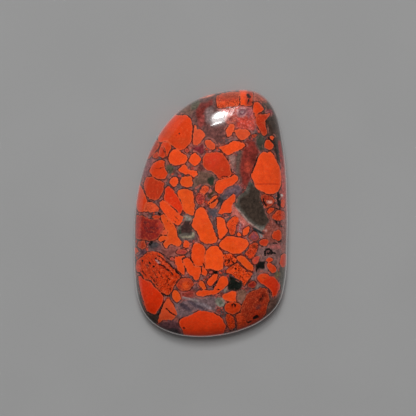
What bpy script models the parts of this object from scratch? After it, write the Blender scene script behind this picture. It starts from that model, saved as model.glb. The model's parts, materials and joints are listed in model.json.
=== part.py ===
"""A freeform cabochon of brecciated mookaite, cut and polished from one piece of stone.

The stone lies on its flat back, with its long axis along Y and its dome up. The origin is
on the back, at the middle of the stone's width and length.
"""

import math

import bmesh
import bpy
from mathutils import Matrix, Vector

MM = 0.001

# Driving dimensions
HEIGHT = 6.5 * MM
GIRDLE_TOP = 1.3 * MM
GIRDLE_LEAN = 0.12 * MM
BACK_BEVEL = 0.3 * MM

# The stone's widest outline seen from above, in millimetres, anticlockwise from the top
RIM = (
    (5.0, 21.05), (2.0, 20.75), (-1.0, 20.05), (-4.0, 18.6), (-7.0, 16.0), (-9.4, 12.65),
    (-11.1, 9.0), (-12.25, 5.0), (-12.97, 0.5), (-13.15, -5.0), (-13.0, -11.0), (-12.25, -15.4),
    (-10.45, -18.3), (-7.1, -20.3), (-3.0, -21.05), (1.0, -20.9), (5.0, -20.0), (9.0, -18.1),
    (11.6, -15.4), (12.6, -12.0), (13.03, -5.0), (13.05, 2.0), (12.8, 7.5), (12.1, 13.0),
    (11.15, 17.05), (9.5, 19.6), (7.4, 20.9),
)

# The dome's section: its height falls with the distance out, raised to this power
DOME_POWER = 2.6

# Where the dome's rings end and an even grid takes over, as a share of the way out
GRID_SHARE = 0.5

# How finely the surface is divided
RING_POINTS = 80
DOME_RINGS = 9
RING_CROWDING = 1.8
CURVE_STEPS = 12

STONE_COLOUR = (0.56, 0.075, 0.022, 1.0)
STONE_ROUGHNESS = 0.08
SMOOTH_ANGLE = math.radians(35)


def clear_scene():
    for item in list(bpy.data.objects):
        bpy.data.objects.remove(item, do_unlink=True)


def rim_curve():
    """The outline as a closed, smooth Bezier curve through the rim's points."""
    curve = bpy.data.curves.new("rim", "CURVE")
    curve.dimensions = "2D"
    curve.fill_mode = "NONE"
    spline = curve.splines.new("BEZIER")
    spline.bezier_points.add(len(RIM) - 1)
    spline.use_cyclic_u = True
    spline.resolution_u = CURVE_STEPS
    for point, (x, y) in zip(spline.bezier_points, RIM):
        point.co = (x * MM, y * MM, 0.0)
        point.handle_left_type = "AUTO"
        point.handle_right_type = "AUTO"
    return bpy.data.objects.new("rim", curve)


def curve_points(collection):
    """The curve's points in order, centred on the middle of their box."""
    rim = rim_curve()
    collection.objects.link(rim)
    bpy.context.view_layer.update()
    wire = bpy.data.meshes.new_from_object(rim.evaluated_get(bpy.context.evaluated_depsgraph_get()))
    points = [vertex.co.copy() for vertex in wire.vertices]
    bpy.data.objects.remove(rim, do_unlink=True)
    bpy.data.meshes.remove(wire)
    middle_x = (max(p.x for p in points) + min(p.x for p in points)) / 2
    middle_y = (max(p.y for p in points) + min(p.y for p in points)) / 2
    return [p - Vector((middle_x, middle_y, 0.0)) for p in points]


def evenly_spaced(points, count):
    """A closed loop of points, read again at even steps along its length."""
    loop = points + points[:1]
    lengths = [(b - a).length for a, b in zip(loop, loop[1:])]
    step = sum(lengths) / count
    result = []
    travelled = 0.0
    for start, end, length in zip(loop, loop[1:], lengths):
        while len(result) < count and len(result) * step < travelled + length:
            share = (len(result) * step - travelled) / length
            result.append(start.lerp(end, share))
        travelled += length
    return result


def dome_height(share):
    """The dome's height where share of the way from the middle to its edge has been gone."""
    fall = min(max(share, 0.0), 1.0) ** DOME_POWER
    return GIRDLE_TOP + (HEIGHT - GIRDLE_TOP) * math.sqrt(1.0 - fall)


def reach(direction, outline):
    """How far the outline is from the middle in a direction."""
    for start, end in zip(outline, outline[1:] + outline[:1]):
        side_a = start.x * direction.y - start.y * direction.x
        side_b = end.x * direction.y - end.y * direction.x
        if side_a * side_b <= 0.0 and side_a != side_b:
            crossing = start.lerp(end, side_a / (side_a - side_b))
            if crossing.dot(direction) > 0.0:
                return crossing.length
    return outline[0].length


def next_ring(bm, edges, scale, height):
    """Extrudes a closed ring of edges, and sets the new ring's size and height."""
    extruded = bmesh.ops.extrude_edge_only(bm, edges=edges)["geom"]
    verts = [item for item in extruded if isinstance(item, bmesh.types.BMVert)]
    new_edges = [item for item in extruded if isinstance(item, bmesh.types.BMEdge)]
    bmesh.ops.scale(bm, vec=(scale, scale, 1.0), verts=verts)
    for vert in verts:
        vert.co.z = height
    return [edge for edge in new_edges if all(vert in verts for vert in edge.verts)]


def long_sides(edges):
    """The two quarters of a ring of edges that face left and right."""
    def turn(edge):
        middle = (edge.verts[0].co + edge.verts[1].co) / 2
        return math.atan2(middle.y, middle.x) % math.tau

    ordered = sorted(edges, key=turn)
    quarter = len(ordered) // 4
    right = ordered[-quarter // 2:] + ordered[:quarter - quarter // 2]
    start = len(ordered) // 2 - quarter // 2
    return right + ordered[start:start + quarter]


def stone_mesh(outline):
    """The back, the girdle and the dome as one closed mesh."""
    bm = bmesh.new()
    ring = [bm.verts.new(point) for point in outline]
    back = bm.faces.new(reversed(ring))
    edges = list(back.edges)

    half_width = max(point.x for point in outline)
    lean = 1.0 - GIRDLE_LEAN / half_width
    edges = next_ring(bm, edges, lean, GIRDLE_TOP)
    dome_edge = [point * lean for point in outline]

    share = 1.0
    for index in range(1, DOME_RINGS + 1):
        inward = (1.0 - GRID_SHARE) * (index / DOME_RINGS) ** RING_CROWDING
        edges = next_ring(bm, edges, (1.0 - inward) / share, dome_height(1.0 - inward))
        share = 1.0 - inward

    rim_verts = {vert for edge in edges for vert in edge.verts}
    filled = bmesh.ops.grid_fill(bm, edges=long_sides(edges), use_interp_simple=True)["faces"]
    inner = {vert for face in filled for vert in face.verts} - rim_verts
    for vert in inner:
        flat = Vector((vert.co.x, vert.co.y, 0.0))
        distance = flat.length
        direction = flat.normalized() if distance > 0.0 else Vector((1.0, 0.0, 0.0))
        vert.co.z = dome_height(distance / reach(direction, dome_edge))

    bmesh.ops.recalc_face_normals(bm, faces=bm.faces)
    mesh = bpy.data.meshes.new("cabochon")
    bm.to_mesh(mesh)
    bm.free()
    return mesh


def stone_material():
    material = bpy.data.materials.new("polished_stone")
    material.use_nodes = True
    shader = material.node_tree.nodes["Principled BSDF"]
    shader.inputs["Base Color"].default_value = STONE_COLOUR
    shader.inputs["Roughness"].default_value = STONE_ROUGHNESS
    shader.inputs["Metallic"].default_value = 0.0
    return material


def build_cabochon(collection):
    """The stone, with a small bevel round the edge of its back."""
    outline = evenly_spaced(curve_points(collection), RING_POINTS)
    mesh = stone_mesh(outline)
    mesh.materials.append(stone_material())
    stone = bpy.data.objects.new("cabochon", mesh)
    collection.objects.link(stone)
    bevel = stone.modifiers.new("back_bevel", "BEVEL")
    bevel.width = BACK_BEVEL
    bevel.segments = 2
    bevel.limit_method = "ANGLE"
    bevel.angle_limit = math.radians(60)
    mesh.shade_smooth()
    mesh.set_sharp_from_angle(angle=SMOOTH_ANGLE)
    return stone


def main():
    clear_scene()
    collection = bpy.data.collections.new("brecciated_mookaite_cabochon")
    bpy.context.scene.collection.children.link(collection)
    build_cabochon(collection)


main()
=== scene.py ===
"""The looks of a polished cabochon of brecciated mookaite, on a plain floor under soft light.

Broken fragments of red and orange jasper lie in grey-purple chalcedony. The fragments, the
pools of other colours and the cracks are drawn as outlines in millimetres on the stone, seen
from above with its long axis up, and the material's noise roughens them.
"""

import json
import math
from collections import namedtuple

import bpy
import numpy as np
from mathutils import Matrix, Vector

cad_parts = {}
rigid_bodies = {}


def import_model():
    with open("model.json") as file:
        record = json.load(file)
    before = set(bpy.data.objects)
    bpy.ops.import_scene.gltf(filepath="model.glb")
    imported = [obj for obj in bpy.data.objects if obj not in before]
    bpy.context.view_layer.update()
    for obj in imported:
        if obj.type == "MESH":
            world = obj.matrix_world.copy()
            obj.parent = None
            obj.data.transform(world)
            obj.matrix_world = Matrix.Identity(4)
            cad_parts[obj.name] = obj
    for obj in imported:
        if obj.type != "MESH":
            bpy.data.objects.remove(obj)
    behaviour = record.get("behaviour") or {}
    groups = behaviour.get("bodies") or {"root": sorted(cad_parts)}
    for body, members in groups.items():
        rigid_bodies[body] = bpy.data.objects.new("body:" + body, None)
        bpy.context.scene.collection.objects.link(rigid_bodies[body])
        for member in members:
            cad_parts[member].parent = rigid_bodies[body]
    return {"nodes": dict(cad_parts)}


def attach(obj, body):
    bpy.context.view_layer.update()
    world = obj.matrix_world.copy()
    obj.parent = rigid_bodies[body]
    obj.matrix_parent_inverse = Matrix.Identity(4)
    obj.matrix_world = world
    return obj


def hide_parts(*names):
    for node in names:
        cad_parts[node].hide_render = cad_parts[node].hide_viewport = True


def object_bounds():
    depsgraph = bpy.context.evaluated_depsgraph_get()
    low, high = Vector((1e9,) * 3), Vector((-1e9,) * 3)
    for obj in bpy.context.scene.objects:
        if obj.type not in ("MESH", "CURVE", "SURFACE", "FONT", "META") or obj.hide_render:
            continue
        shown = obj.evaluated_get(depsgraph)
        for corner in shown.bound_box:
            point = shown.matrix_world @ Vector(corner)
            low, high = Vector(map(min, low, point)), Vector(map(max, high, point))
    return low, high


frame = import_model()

CAD_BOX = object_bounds()
MM = 0.001

# Colours of the rock as sRGB values from 0 to 255
SHADES = {
    "flame": (246, 84, 28),
    "orange": (240, 77, 26),
    "amber": (226, 80, 24),
    "coral": (220, 80, 42),
    "rust": (210, 60, 18),
    "brick": (191, 53, 22),
    "scarlet": (220, 50, 14),
    "poppy": (248, 67, 24),
    "rose": (176, 62, 56),
    "wine": (140, 36, 30),
    "plum": (124, 48, 52),
    "clay": (168, 54, 30),
}

Fragment = namedtuple("Fragment", "shade outline net gap", defaults=(0.0, 0.10))
Pool = namedtuple("Pool", "shade softness outline grain", defaults=(0.0,))
Crack = namedtuple("Crack", "half_width route")

# Fragments of jasper in the dome, from the top end down: shade, outline, how strong the net of
# veins in it is, and the gap left to those under it. A later one lies over an earlier one.
FRAGMENTS = (
    # Round the top end
    Fragment("brick", (
        (1.1, 19.9), (2.0, 20.3), (3.4, 20.5), (4.8, 20.6), (4.9, 19.8), (4.7, 18.9), (3.8, 18.5),
        (2.6, 18.4), (1.9, 18.2), (1.2, 18.1), (0.95, 18.7), (0.95, 19.4)), 0.6),
    Fragment("coral", (
        (0.95, 19.0), (1.6, 19.2), (2.6, 19.1), (3.8, 19.3), (4.9, 19.2), (4.9, 18.5), (4.2, 18.0),
        (3.2, 18.1), (2.2, 17.8), (1.2, 17.9)), 1.0, -0.3),
    Fragment("orange", (
        (4.9, 20.9), (5.9, 21.0), (6.9, 20.9), (7.1, 20.3), (7.0, 19.4), (7.2, 18.6), (6.7, 18.2),
        (5.8, 18.3), (5.1, 18.4), (4.95, 19.5)), 0.3),
    Fragment("rust", (
        (7.3, 18.8), (7.9, 18.8), (8.4, 18.4), (8.9, 17.8), (9.0, 17.6), (8.5, 17.2), (8.0, 16.9),
        (7.6, 16.4), (7.3, 17.2), (7.2, 18.2))),
    Fragment("brick", (
        (7.7, 16.5), (8.4, 16.8), (9.3, 16.7), (10.0, 16.9), (9.5, 16.1), (9.1, 15.6), (9.2, 14.8),
        (9.4, 14.0), (9.4, 13.4), (9.1, 13.1), (8.6, 13.6), (8.2, 14.3), (7.9, 14.8), (7.7, 15.5)),
        0.3, -0.1),
    Fragment("rust", (
        (-6.3, 16.6), (-5.0, 16.5), (-4.2, 16.5), (-3.6, 16.1), (-3.25, 15.4), (-3.1, 14.5),
        (-3.15, 13.5), (-3.3, 12.4), (-3.7, 11.6), (-4.5, 10.9), (-5.3, 10.7), (-6.2, 11.2),
        (-6.9, 11.8), (-7.8, 12.2), (-8.6, 12.0), (-8.95, 12.6), (-8.9, 13.4), (-8.2, 14.7),
        (-7.2, 15.9))),
    Fragment("coral", (
        (-2.75, 14.9), (-2.5, 14.6), (-2.4, 14.0), (-1.9, 14.1), (-1.6, 13.95), (-1.1, 13.4),
        (-1.05, 13.0), (-1.5, 12.3), (-2.1, 11.75), (-2.8, 11.6), (-3.05, 12.2), (-2.95, 13.2))),
    Fragment("coral", (
        (-0.95, 12.1), (-0.5, 12.4), (0.1, 12.2), (0.7, 11.6), (0.85, 11.1), (0.5, 10.8),
        (0.0, 10.85), (-0.6, 11.3))),
    Fragment("coral", (
        (2.65, 14.0), (2.9, 14.6), (3.4, 15.0), (3.8, 14.9), (4.0, 14.4), (3.8, 13.8), (3.4, 13.3),
        (3.0, 13.0), (2.75, 13.1))),
    Fragment("coral", (
        (4.0, 14.0), (4.7, 14.2), (5.8, 14.1), (6.5, 13.8), (6.7, 13.3), (6.1, 12.8), (5.4, 12.4),
        (5.0, 12.4), (4.5, 12.9))),
    Fragment("wine", ((6.9, 13.2), (7.6, 13.3), (7.7, 13.1), (7.2, 12.8))),
    Fragment("orange", (
        (1.3, 11.1), (2.2, 11.3), (3.0, 11.6), (3.6, 12.1), (4.6, 12.2), (5.6, 11.7), (5.75, 11.4),
        (5.1, 10.9), (4.0, 10.4), (3.3, 10.0), (2.7, 9.9), (2.2, 10.3), (1.6, 10.8))),
    Fragment("rust", (
        (9.2, 12.0), (9.5, 12.4), (9.9, 12.4), (10.4, 11.8), (10.5, 11.2), (10.1, 10.8), (9.5, 10.9),
        (9.1, 11.3))),
    Fragment("orange", ((10.0, 12.9), (10.4, 13.0), (10.7, 12.8), (10.5, 12.4), (10.2, 12.4))),

    # The upper left
    Fragment("clay", (
        (-9.1, 12.5), (-8.7, 11.7), (-9.1, 10.7), (-10.1, 9.6), (-10.9, 9.2), (-10.7, 10.2),
        (-9.9, 11.4), (-9.6, 12.2)), 0.2, 0.03),
    Fragment("clay", ((-9.2, 10.4), (-8.8, 10.2), (-8.9, 9.5), (-9.7, 9.3), (-9.9, 9.7)), 0.3),
    Fragment("brick", (
        (-8.8, 10.6), (-8.4, 11.3), (-8.0, 11.2), (-7.7, 10.4), (-7.6, 9.5), (-8.3, 9.4),
        (-8.8, 9.8))),
    Fragment("rust", (
        (-8.4, 11.5), (-8.0, 12.1), (-7.2, 12.0), (-6.7, 11.3), (-6.9, 10.6), (-7.3, 9.7),
        (-7.55, 9.6), (-7.6, 10.4), (-7.9, 11.2)), 0.2, 0.02),
    Fragment("rose", ((-4.4, 10.7), (-4.0, 11.0), (-3.7, 10.7), (-3.9, 10.3), (-4.3, 10.3)), 0.4),
    Fragment("orange", (
        (-7.15, 9.3), (-6.9, 10.1), (-6.3, 10.8), (-5.7, 10.7), (-5.0, 10.3), (-4.3, 9.9),
        (-3.95, 9.4), (-4.0, 8.9), (-4.5, 8.4), (-5.3, 8.2), (-6.1, 8.2), (-6.9, 8.5))),
    Fragment("orange", (
        (-3.6, 9.3), (-3.0, 10.0), (-2.6, 10.1), (-2.0, 9.6), (-1.65, 9.05), (-1.9, 8.6),
        (-2.3, 8.2), (-2.7, 8.05), (-3.2, 8.3), (-3.65, 8.7))),
    Fragment("brick", (
        (-1.3, 9.2), (-1.0, 9.8), (-0.4, 10.15), (0.8, 10.35), (1.6, 10.3), (2.1, 9.9), (2.5, 9.3),
        (3.0, 8.4), (3.3, 7.4), (3.45, 6.6), (3.2, 6.2), (2.6, 6.0), (1.3, 5.9), (0.9, 6.6),
        (0.2, 7.1), (-0.6, 7.4), (-1.1, 7.9), (-1.35, 8.5))),
    Fragment("orange", (
        (-5.4, 7.3), (-4.9, 8.0), (-4.4, 8.2), (-4.1, 7.9), (-3.9, 7.5), (-3.5, 7.2), (-2.5, 7.1),
        (-2.3, 6.7), (-2.6, 6.2), (-3.1, 5.9), (-3.6, 6.6), (-4.2, 6.5), (-4.9, 6.9))),
    Fragment("rust", (
        (-9.9, 8.0), (-9.3, 8.7), (-8.2, 9.0), (-7.85, 8.6), (-7.9, 8.0), (-7.6, 7.2), (-7.4, 6.5),
        (-7.9, 5.9), (-8.9, 5.8), (-9.9, 6.3), (-10.3, 7.2))),
    Fragment("brick", (
        (-10.8, 6.0), (-9.9, 6.2), (-9.2, 5.7), (-8.3, 5.4), (-7.9, 4.8), (-8.1, 3.6), (-8.6, 2.7),
        (-9.3, 2.3), (-10.2, 2.4), (-10.8, 3.0), (-11.2, 4.0), (-11.2, 5.2))),
    Fragment("orange", (
        (-6.9, 5.2), (-6.5, 5.9), (-5.9, 6.0), (-5.5, 5.7), (-5.6, 5.0), (-6.2, 4.4), (-6.6, 4.6))),
    Fragment("amber", (
        (-5.2, 5.3), (-4.9, 6.1), (-4.2, 6.2), (-3.4, 6.3), (-3.1, 5.9), (-3.1, 5.0), (-3.4, 4.5),
        (-4.0, 4.4), (-4.8, 4.7))),
    Fragment("rust", (
        (-12.1, 4.9), (-11.7, 4.3), (-11.2, 3.3), (-10.8, 2.2), (-10.7, 1.4), (-11.0, 0.6),
        (-11.3, 0.3), (-11.9, 0.2), (-12.4, 0.6), (-12.6, 2.0), (-12.5, 3.5))),
    Fragment("coral", (
        (-11.0, 1.8), (-10.0, 1.8), (-9.2, 1.4), (-8.7, 0.7), (-9.4, 0.2), (-10.6, 0.3), (-11.4, 0.4)),
        0.5, -0.15),
    Fragment("scarlet", (
        (-7.9, 2.3), (-7.7, 3.8), (-7.6, 4.3), (-7.1, 4.5), (-6.6, 4.2), (-6.0, 3.4), (-5.6, 2.8),
        (-5.0, 1.9), (-4.7, 0.9), (-4.9, 0.2), (-5.2, -0.05), (-6.0, 0.7), (-7.0, 1.5))),
    Fragment("amber", (
        (-5.6, 3.3), (-5.2, 3.9), (-4.4, 4.15), (-3.7, 4.0), (-3.1, 3.5), (-2.85, 2.8), (-2.8, 1.6),
        (-2.75, 0.4), (-3.0, -0.3), (-3.6, -0.2), (-4.3, 0.2), (-4.7, 0.7), (-5.0, 1.9)), 0.0, -0.1),
    Fragment("orange", (
        (-8.6, 1.8), (-8.1, 2.2), (-7.5, 1.9), (-6.5, 1.0), (-5.4, -0.1), (-4.9, -0.5),
        (-4.7, -0.8), (-5.0, -1.6), (-5.5, -2.0), (-6.1, -1.8), (-7.0, -1.1), (-8.0, 0.1),
        (-8.6, 1.2)), 0.0, 0.03),
    Fragment("amber", (
        (-7.9, 0.0), (-7.6, -0.5), (-6.8, -1.3), (-6.1, -2.0), (-5.8, -2.8), (-5.7, -3.8),
        (-5.3, -4.4), (-5.0, -4.8), (-5.1, -5.3), (-5.5, -5.5), (-6.1, -5.4), (-6.8, -5.1),
        (-7.2, -5.5), (-7.5, -5.8), (-7.8, -5.5), (-8.0, -5.1), (-7.5, -4.5), (-7.4, -3.4),
        (-7.9, -2.3), (-8.2, -1.4), (-8.4, -0.5)), 0.0, 0.0),
    Fragment("brick", ((-9.9, -0.6), (-9.4, -0.3), (-8.6, -0.5), (-8.7, -0.9), (-9.5, -0.95))),
    Fragment("wine", (
        (-12.5, -0.4), (-11.6, -0.5), (-10.8, -0.9), (-9.9, -1.05), (-8.8, -1.0), (-8.2, -1.6),
        (-7.9, -2.3), (-8.2, -3.0), (-8.6, -3.7), (-9.2, -4.4), (-10.4, -4.6), (-11.6, -4.4),
        (-12.6, -4.2), (-12.7, -2.4)), 0.25, 0.04),
    Fragment("coral", (
        (-8.3, -3.3), (-7.9, -2.8), (-7.3, -3.0), (-7.4, -3.6), (-8.1, -3.65)), 0.0, 0.0),
    Fragment("amber", (
        (-8.9, -4.5), (-8.3, -3.8), (-7.5, -3.8), (-7.2, -4.4), (-7.9, -4.6), (-8.4, -4.8)), 0.0, 0.02),
    Fragment("clay", (
        (-12.2, -4.8), (-11.2, -4.7), (-11.0, -5.6), (-11.8, -6.0), (-12.4, -5.6)), 0.6),
    Fragment("rust", (
        (-12.9, -5.8), (-12.5, -5.9), (-12.3, -6.4), (-12.7, -6.8), (-12.95, -6.4)), 0.3),

    # The middle
    Fragment("orange", (
        (0.85, 4.9), (1.0, 5.4), (1.8, 5.7), (3.0, 6.0), (3.6, 6.3), (4.0, 6.5), (4.4, 6.2),
        (4.5, 5.7), (4.0, 5.1), (3.2, 4.6), (2.4, 4.2), (1.8, 3.5), (1.3, 3.3), (0.9, 3.7),
        (0.8, 4.3))),
    Fragment("rose", (
        (-2.4, 3.0), (-1.9, 3.5), (-1.3, 3.4), (-1.1, 2.6), (-1.3, 1.8), (-1.7, 1.5), (-2.3, 1.8),
        (-2.5, 2.4)), 0.9),
    Fragment("coral", (
        (-1.9, 3.7), (-1.5, 4.3), (-1.0, 4.6), (-0.5, 4.4), (-0.4, 3.9), (-0.9, 3.3), (-1.4, 3.3)),
        0.6, 0.02),
    Fragment("amber", (
        (-0.5, 1.6), (0.0, 2.4), (0.6, 2.9), (1.1, 2.9), (0.6, 2.2), (-0.1, 1.5))),
    Fragment("amber", (
        (-0.3, 1.2), (0.4, 1.9), (1.2, 2.3), (1.0, 1.6), (0.6, 1.1), (0.0, 0.9))),
    Fragment("flame", (
        (-1.9, 0.95), (-1.4, 1.0), (-1.0, 0.6), (-0.6, -0.3), (-0.2, -1.1), (0.1, -1.9),
        (0.5, -2.9), (0.9, -3.8), (1.15, -4.4), (0.8, -4.9), (0.0, -5.1), (-0.9, -5.1),
        (-1.6, -4.7), (-2.0, -3.6), (-2.3, -3.1), (-2.9, -2.5), (-3.1, -1.9), (-2.9, -1.0),
        (-2.6, 0.1), (-2.4, 0.6))),
    Fragment("orange", (
        (1.3, 0.0), (1.7, 0.8), (2.2, 1.8), (2.7, 2.3), (3.3, 2.7), (3.8, 3.2), (4.1, 2.9),
        (4.0, 2.1), (3.5, 1.2), (3.6, 0.5), (3.3, 0.2), (2.4, 0.05), (1.8, -0.15))),
    Fragment("flame", (
        (1.05, -0.8), (1.5, -0.6), (2.1, -0.9), (2.4, -1.4), (2.5, -2.1), (2.9, -3.0), (2.5, -3.5),
        (1.8, -4.2), (1.4, -4.1), (1.2, -3.2), (1.1, -2.0))),
    Fragment("orange", (
        (2.8, -1.5), (3.4, -1.0), (4.0, -0.6), (4.6, -0.8), (4.6, -1.4), (4.2, -2.2), (4.1, -3.0),
        (3.9, -3.6), (3.3, -3.5), (3.0, -2.7), (2.7, -2.0)), 0.6),
    Fragment("orange", ((4.4, -3.6), (4.6, -3.2), (5.0, -3.3), (5.1, -3.7), (4.7, -3.9))),
    Fragment("flame", (
        (5.4, -3.6), (5.4, -3.0), (6.1, -2.4), (6.4, -2.3), (6.4, -3.1), (6.0, -3.6), (5.6, -3.8))),
    Fragment("orange", (
        (-4.7, -5.3), (-4.5, -4.8), (-4.2, -4.6), (-3.8, -4.8), (-3.6, -5.2), (-3.8, -5.6),
        (-4.2, -5.85), (-4.6, -5.7))),
    Fragment("rose", (
        (-5.8, -6.6), (-5.5, -6.2), (-5.0, -6.1), (-4.3, -6.2), (-4.0, -6.5), (-4.4, -6.9),
        (-5.2, -6.9), (-5.7, -6.8))),

    # The right side
    Fragment("orange", (
        (8.5, 10.1), (9.1, 10.3), (9.6, 10.2), (10.1, 10.4), (10.5, 10.0), (10.8, 9.3), (11.2, 8.5),
        (11.6, 8.0), (11.7, 7.2), (11.85, 6.3), (11.8, 5.0), (11.7, 4.4), (11.3, 3.7), (10.4, 3.3),
        (9.6, 3.3), (8.7, 3.7), (7.9, 4.2), (7.4, 5.0), (7.0, 6.0), (6.8, 6.3), (7.1, 7.0),
        (7.6, 8.0), (8.0, 9.0))),
    Fragment("clay", (
        (8.6, 2.9), (9.2, 3.2), (10.2, 2.9), (10.7, 2.2), (10.5, 1.5), (9.9, 1.1), (9.4, 0.9),
        (9.0, 1.6), (8.6, 2.2)), 0.8),
    Fragment("rust", ((12.0, 2.3), (12.3, 2.2), (12.5, 1.6), (12.3, 1.0), (12.0, 1.1), (11.95, 1.7))),
    Fragment("rust", ((9.6, 0.2), (9.9, 0.9), (10.6, 0.9), (10.5, 0.3), (9.9, 0.0)), 0.4),
    Fragment("rust", (
        (10.4, -0.5), (10.9, 0.1), (11.6, 0.5), (12.4, 0.3), (12.5, -0.8), (11.6, -1.2),
        (10.8, -1.0)), 0.7),
    Fragment("rust", (
        (10.4, -3.7), (10.7, -3.2), (11.4, -2.9), (11.9, -3.3), (11.9, -4.2), (11.5, -4.6),
        (10.9, -4.4), (10.5, -4.2)), 0.2),
    Fragment("plum", (
        (6.4, -4.0), (6.9, -3.2), (7.4, -3.1), (8.0, -3.7), (8.0, -4.4), (7.3, -4.7)), 0.4),
    Fragment("brick", (
        (8.2, -4.9), (8.6, -4.5), (9.1, -4.35), (9.7, -4.6), (9.7, -5.0), (9.3, -5.4), (8.8, -5.5),
        (8.3, -5.3))),
    Fragment("rust", (
        (9.4, -7.8), (9.9, -7.5), (10.4, -7.7), (10.35, -8.1), (9.8, -8.25), (9.5, -8.1))),
    Fragment("rust", (
        (9.5, -8.8), (9.7, -8.45), (10.2, -8.4), (10.6, -8.8), (11.0, -9.2), (11.1, -9.5),
        (10.9, -9.9), (10.5, -10.05), (10.1, -9.8), (9.8, -9.3))),
    Fragment("rust", (
        (11.8, -7.8), (12.0, -7.2), (12.5, -6.9), (12.95, -7.2), (12.95, -8.0), (12.7, -8.7),
        (12.3, -9.1), (11.9, -8.9), (11.75, -8.4))),
    Fragment("rust", (
        (6.4, -5.5), (6.7, -5.2), (7.3, -5.0), (7.9, -5.1), (8.0, -5.6), (7.7, -6.3), (7.4, -7.0),
        (7.0, -7.5), (6.5, -7.6), (6.2, -7.2), (5.8, -6.9), (6.2, -6.4), (6.4, -6.0)), 1.0),
    Fragment("rose", (
        (6.9, -7.9), (7.2, -7.6), (7.8, -7.3), (8.2, -7.4), (8.1, -8.1), (7.6, -8.5), (7.1, -8.5)), 0.3),
    Fragment("brick", ((7.1, -7.9), (7.5, -7.7), (7.8, -7.9), (7.6, -8.3), (7.2, -8.3)), 0.0, -0.3),
    Fragment("scarlet", (
        (8.0, -10.7), (8.4, -10.3), (9.0, -10.2), (9.5, -10.3), (10.0, -10.7), (10.5, -10.8),
        (11.0, -11.2), (11.4, -11.7), (11.7, -12.1), (11.6, -12.6), (11.4, -13.2), (11.0, -13.8),
        (10.6, -14.1), (10.4, -13.8), (10.3, -13.3), (10.0, -12.9), (9.6, -12.4), (9.1, -12.2),
        (8.7, -11.9), (8.2, -11.5), (7.9, -11.1))),

    # The row under the middle
    Fragment("flame", (
        (1.5, -5.2), (1.9, -4.6), (2.4, -4.1), (3.0, -3.85), (3.8, -3.9), (4.6, -4.05), (5.4, -4.2),
        (6.0, -4.5), (6.4, -4.9), (6.4, -5.3), (6.1, -5.8), (5.6, -6.3), (5.0, -6.7), (4.3, -6.8),
        (3.6, -6.75), (3.0, -6.5), (2.4, -6.2), (1.8, -5.9), (1.45, -5.6))),
    Fragment("orange", (
        (-4.8, -8.0), (-4.4, -7.65), (-4.0, -7.5), (-3.5, -7.8), (-3.1, -8.3), (-2.6, -8.6),
        (-1.7, -8.7), (-1.3, -9.0), (-1.6, -9.4), (-1.7, -10.0), (-1.9, -10.6), (-2.1, -11.1),
        (-2.5, -11.25), (-2.8, -11.0), (-3.0, -10.6), (-3.5, -10.4), (-3.9, -9.9), (-4.2, -9.2),
        (-4.6, -8.5))),
    Fragment("orange", (
        (-6.0, -7.3), (-5.6, -7.3), (-5.1, -7.2), (-4.5, -7.1), (-4.3, -7.35), (-4.9, -7.6),
        (-4.8, -8.2), (-4.6, -8.8), (-4.4, -9.4), (-4.4, -9.9), (-4.55, -10.3), (-4.9, -10.2),
        (-5.2, -10.0), (-5.5, -9.5), (-5.8, -8.8), (-6.0, -8.1))),
    Fragment("rose", ((-6.9, -7.6), (-6.5, -7.35), (-6.1, -7.8), (-6.4, -8.0), (-6.8, -7.9))),
    Fragment("orange", (
        (-3.2, -7.2), (-3.2, -6.5), (-3.05, -5.8), (-2.9, -5.3), (-2.4, -5.1), (-1.8, -5.15),
        (-1.3, -5.45), (-0.9, -6.0), (-0.7, -7.0), (-0.9, -8.2), (-1.4, -8.9), (-2.6, -8.9),
        (-3.0, -8.4), (-3.3, -7.7))),
    Fragment("orange", (
        (-1.5, -9.2), (-1.2, -8.8), (-1.0, -9.4), (-0.65, -9.8), (-0.65, -10.2), (-1.0, -10.5),
        (-1.4, -10.4), (-1.6, -10.0))),
    Fragment("flame", (
        (-0.9, -6.6), (-0.5, -6.0), (0.1, -5.6), (0.8, -5.5), (1.3, -5.7), (1.6, -6.2),
        (2.0, -6.7), (2.1, -7.2), (2.2, -8.0), (2.1, -8.8), (1.9, -9.3), (1.4, -9.6), (0.8, -9.6),
        (0.2, -9.4), (-0.5, -9.45), (-0.9, -9.2), (-0.95, -8.0))),
    Fragment("rose", ((-0.35, -9.9), (0.0, -9.75), (0.35, -9.9), (0.2, -10.1), (-0.2, -10.1))),
    Fragment("orange", (
        (2.1, -7.0), (2.9, -6.85), (3.5, -6.9), (3.9, -7.3), (4.3, -7.8), (4.2, -8.2), (3.7, -8.5),
        (3.2, -8.8), (2.7, -8.9), (2.3, -8.7), (2.25, -8.0)), 1.0, 0.02),
    Fragment("orange", (
        (2.6, -9.9), (2.9, -9.4), (3.3, -9.0), (3.9, -8.7), (4.4, -8.4), (4.8, -8.7), (5.2, -9.1),
        (5.8, -9.6), (6.2, -9.9), (6.8, -10.0), (7.0, -10.3), (6.7, -10.8), (6.3, -11.3),
        (6.0, -11.8), (5.6, -12.2), (5.5, -11.8), (5.1, -11.3), (4.5, -11.0), (3.9, -10.6),
        (3.4, -10.2), (3.0, -10.0)), 1.0, 0.04),
    Fragment("amber", (
        (4.3, -7.4), (4.6, -7.2), (5.2, -7.1), (5.7, -7.3), (6.1, -7.8), (6.6, -8.3), (7.0, -8.8),
        (7.2, -9.3), (7.1, -9.7), (6.7, -9.7), (6.2, -9.4), (5.6, -8.9), (5.1, -8.4),
        (4.6, -7.9))),
    Fragment("amber", (
        (-1.9, -11.7), (-1.5, -11.5), (-1.1, -11.8), (-0.9, -12.3), (-0.7, -12.8), (-1.1, -12.95),
        (-1.5, -12.7), (-1.8, -12.2))),
    Fragment("orange", (
        (-2.5, -13.5), (-2.0, -13.1), (-1.4, -13.0), (-0.8, -12.95), (-0.2, -13.1), (0.4, -13.0),
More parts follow.
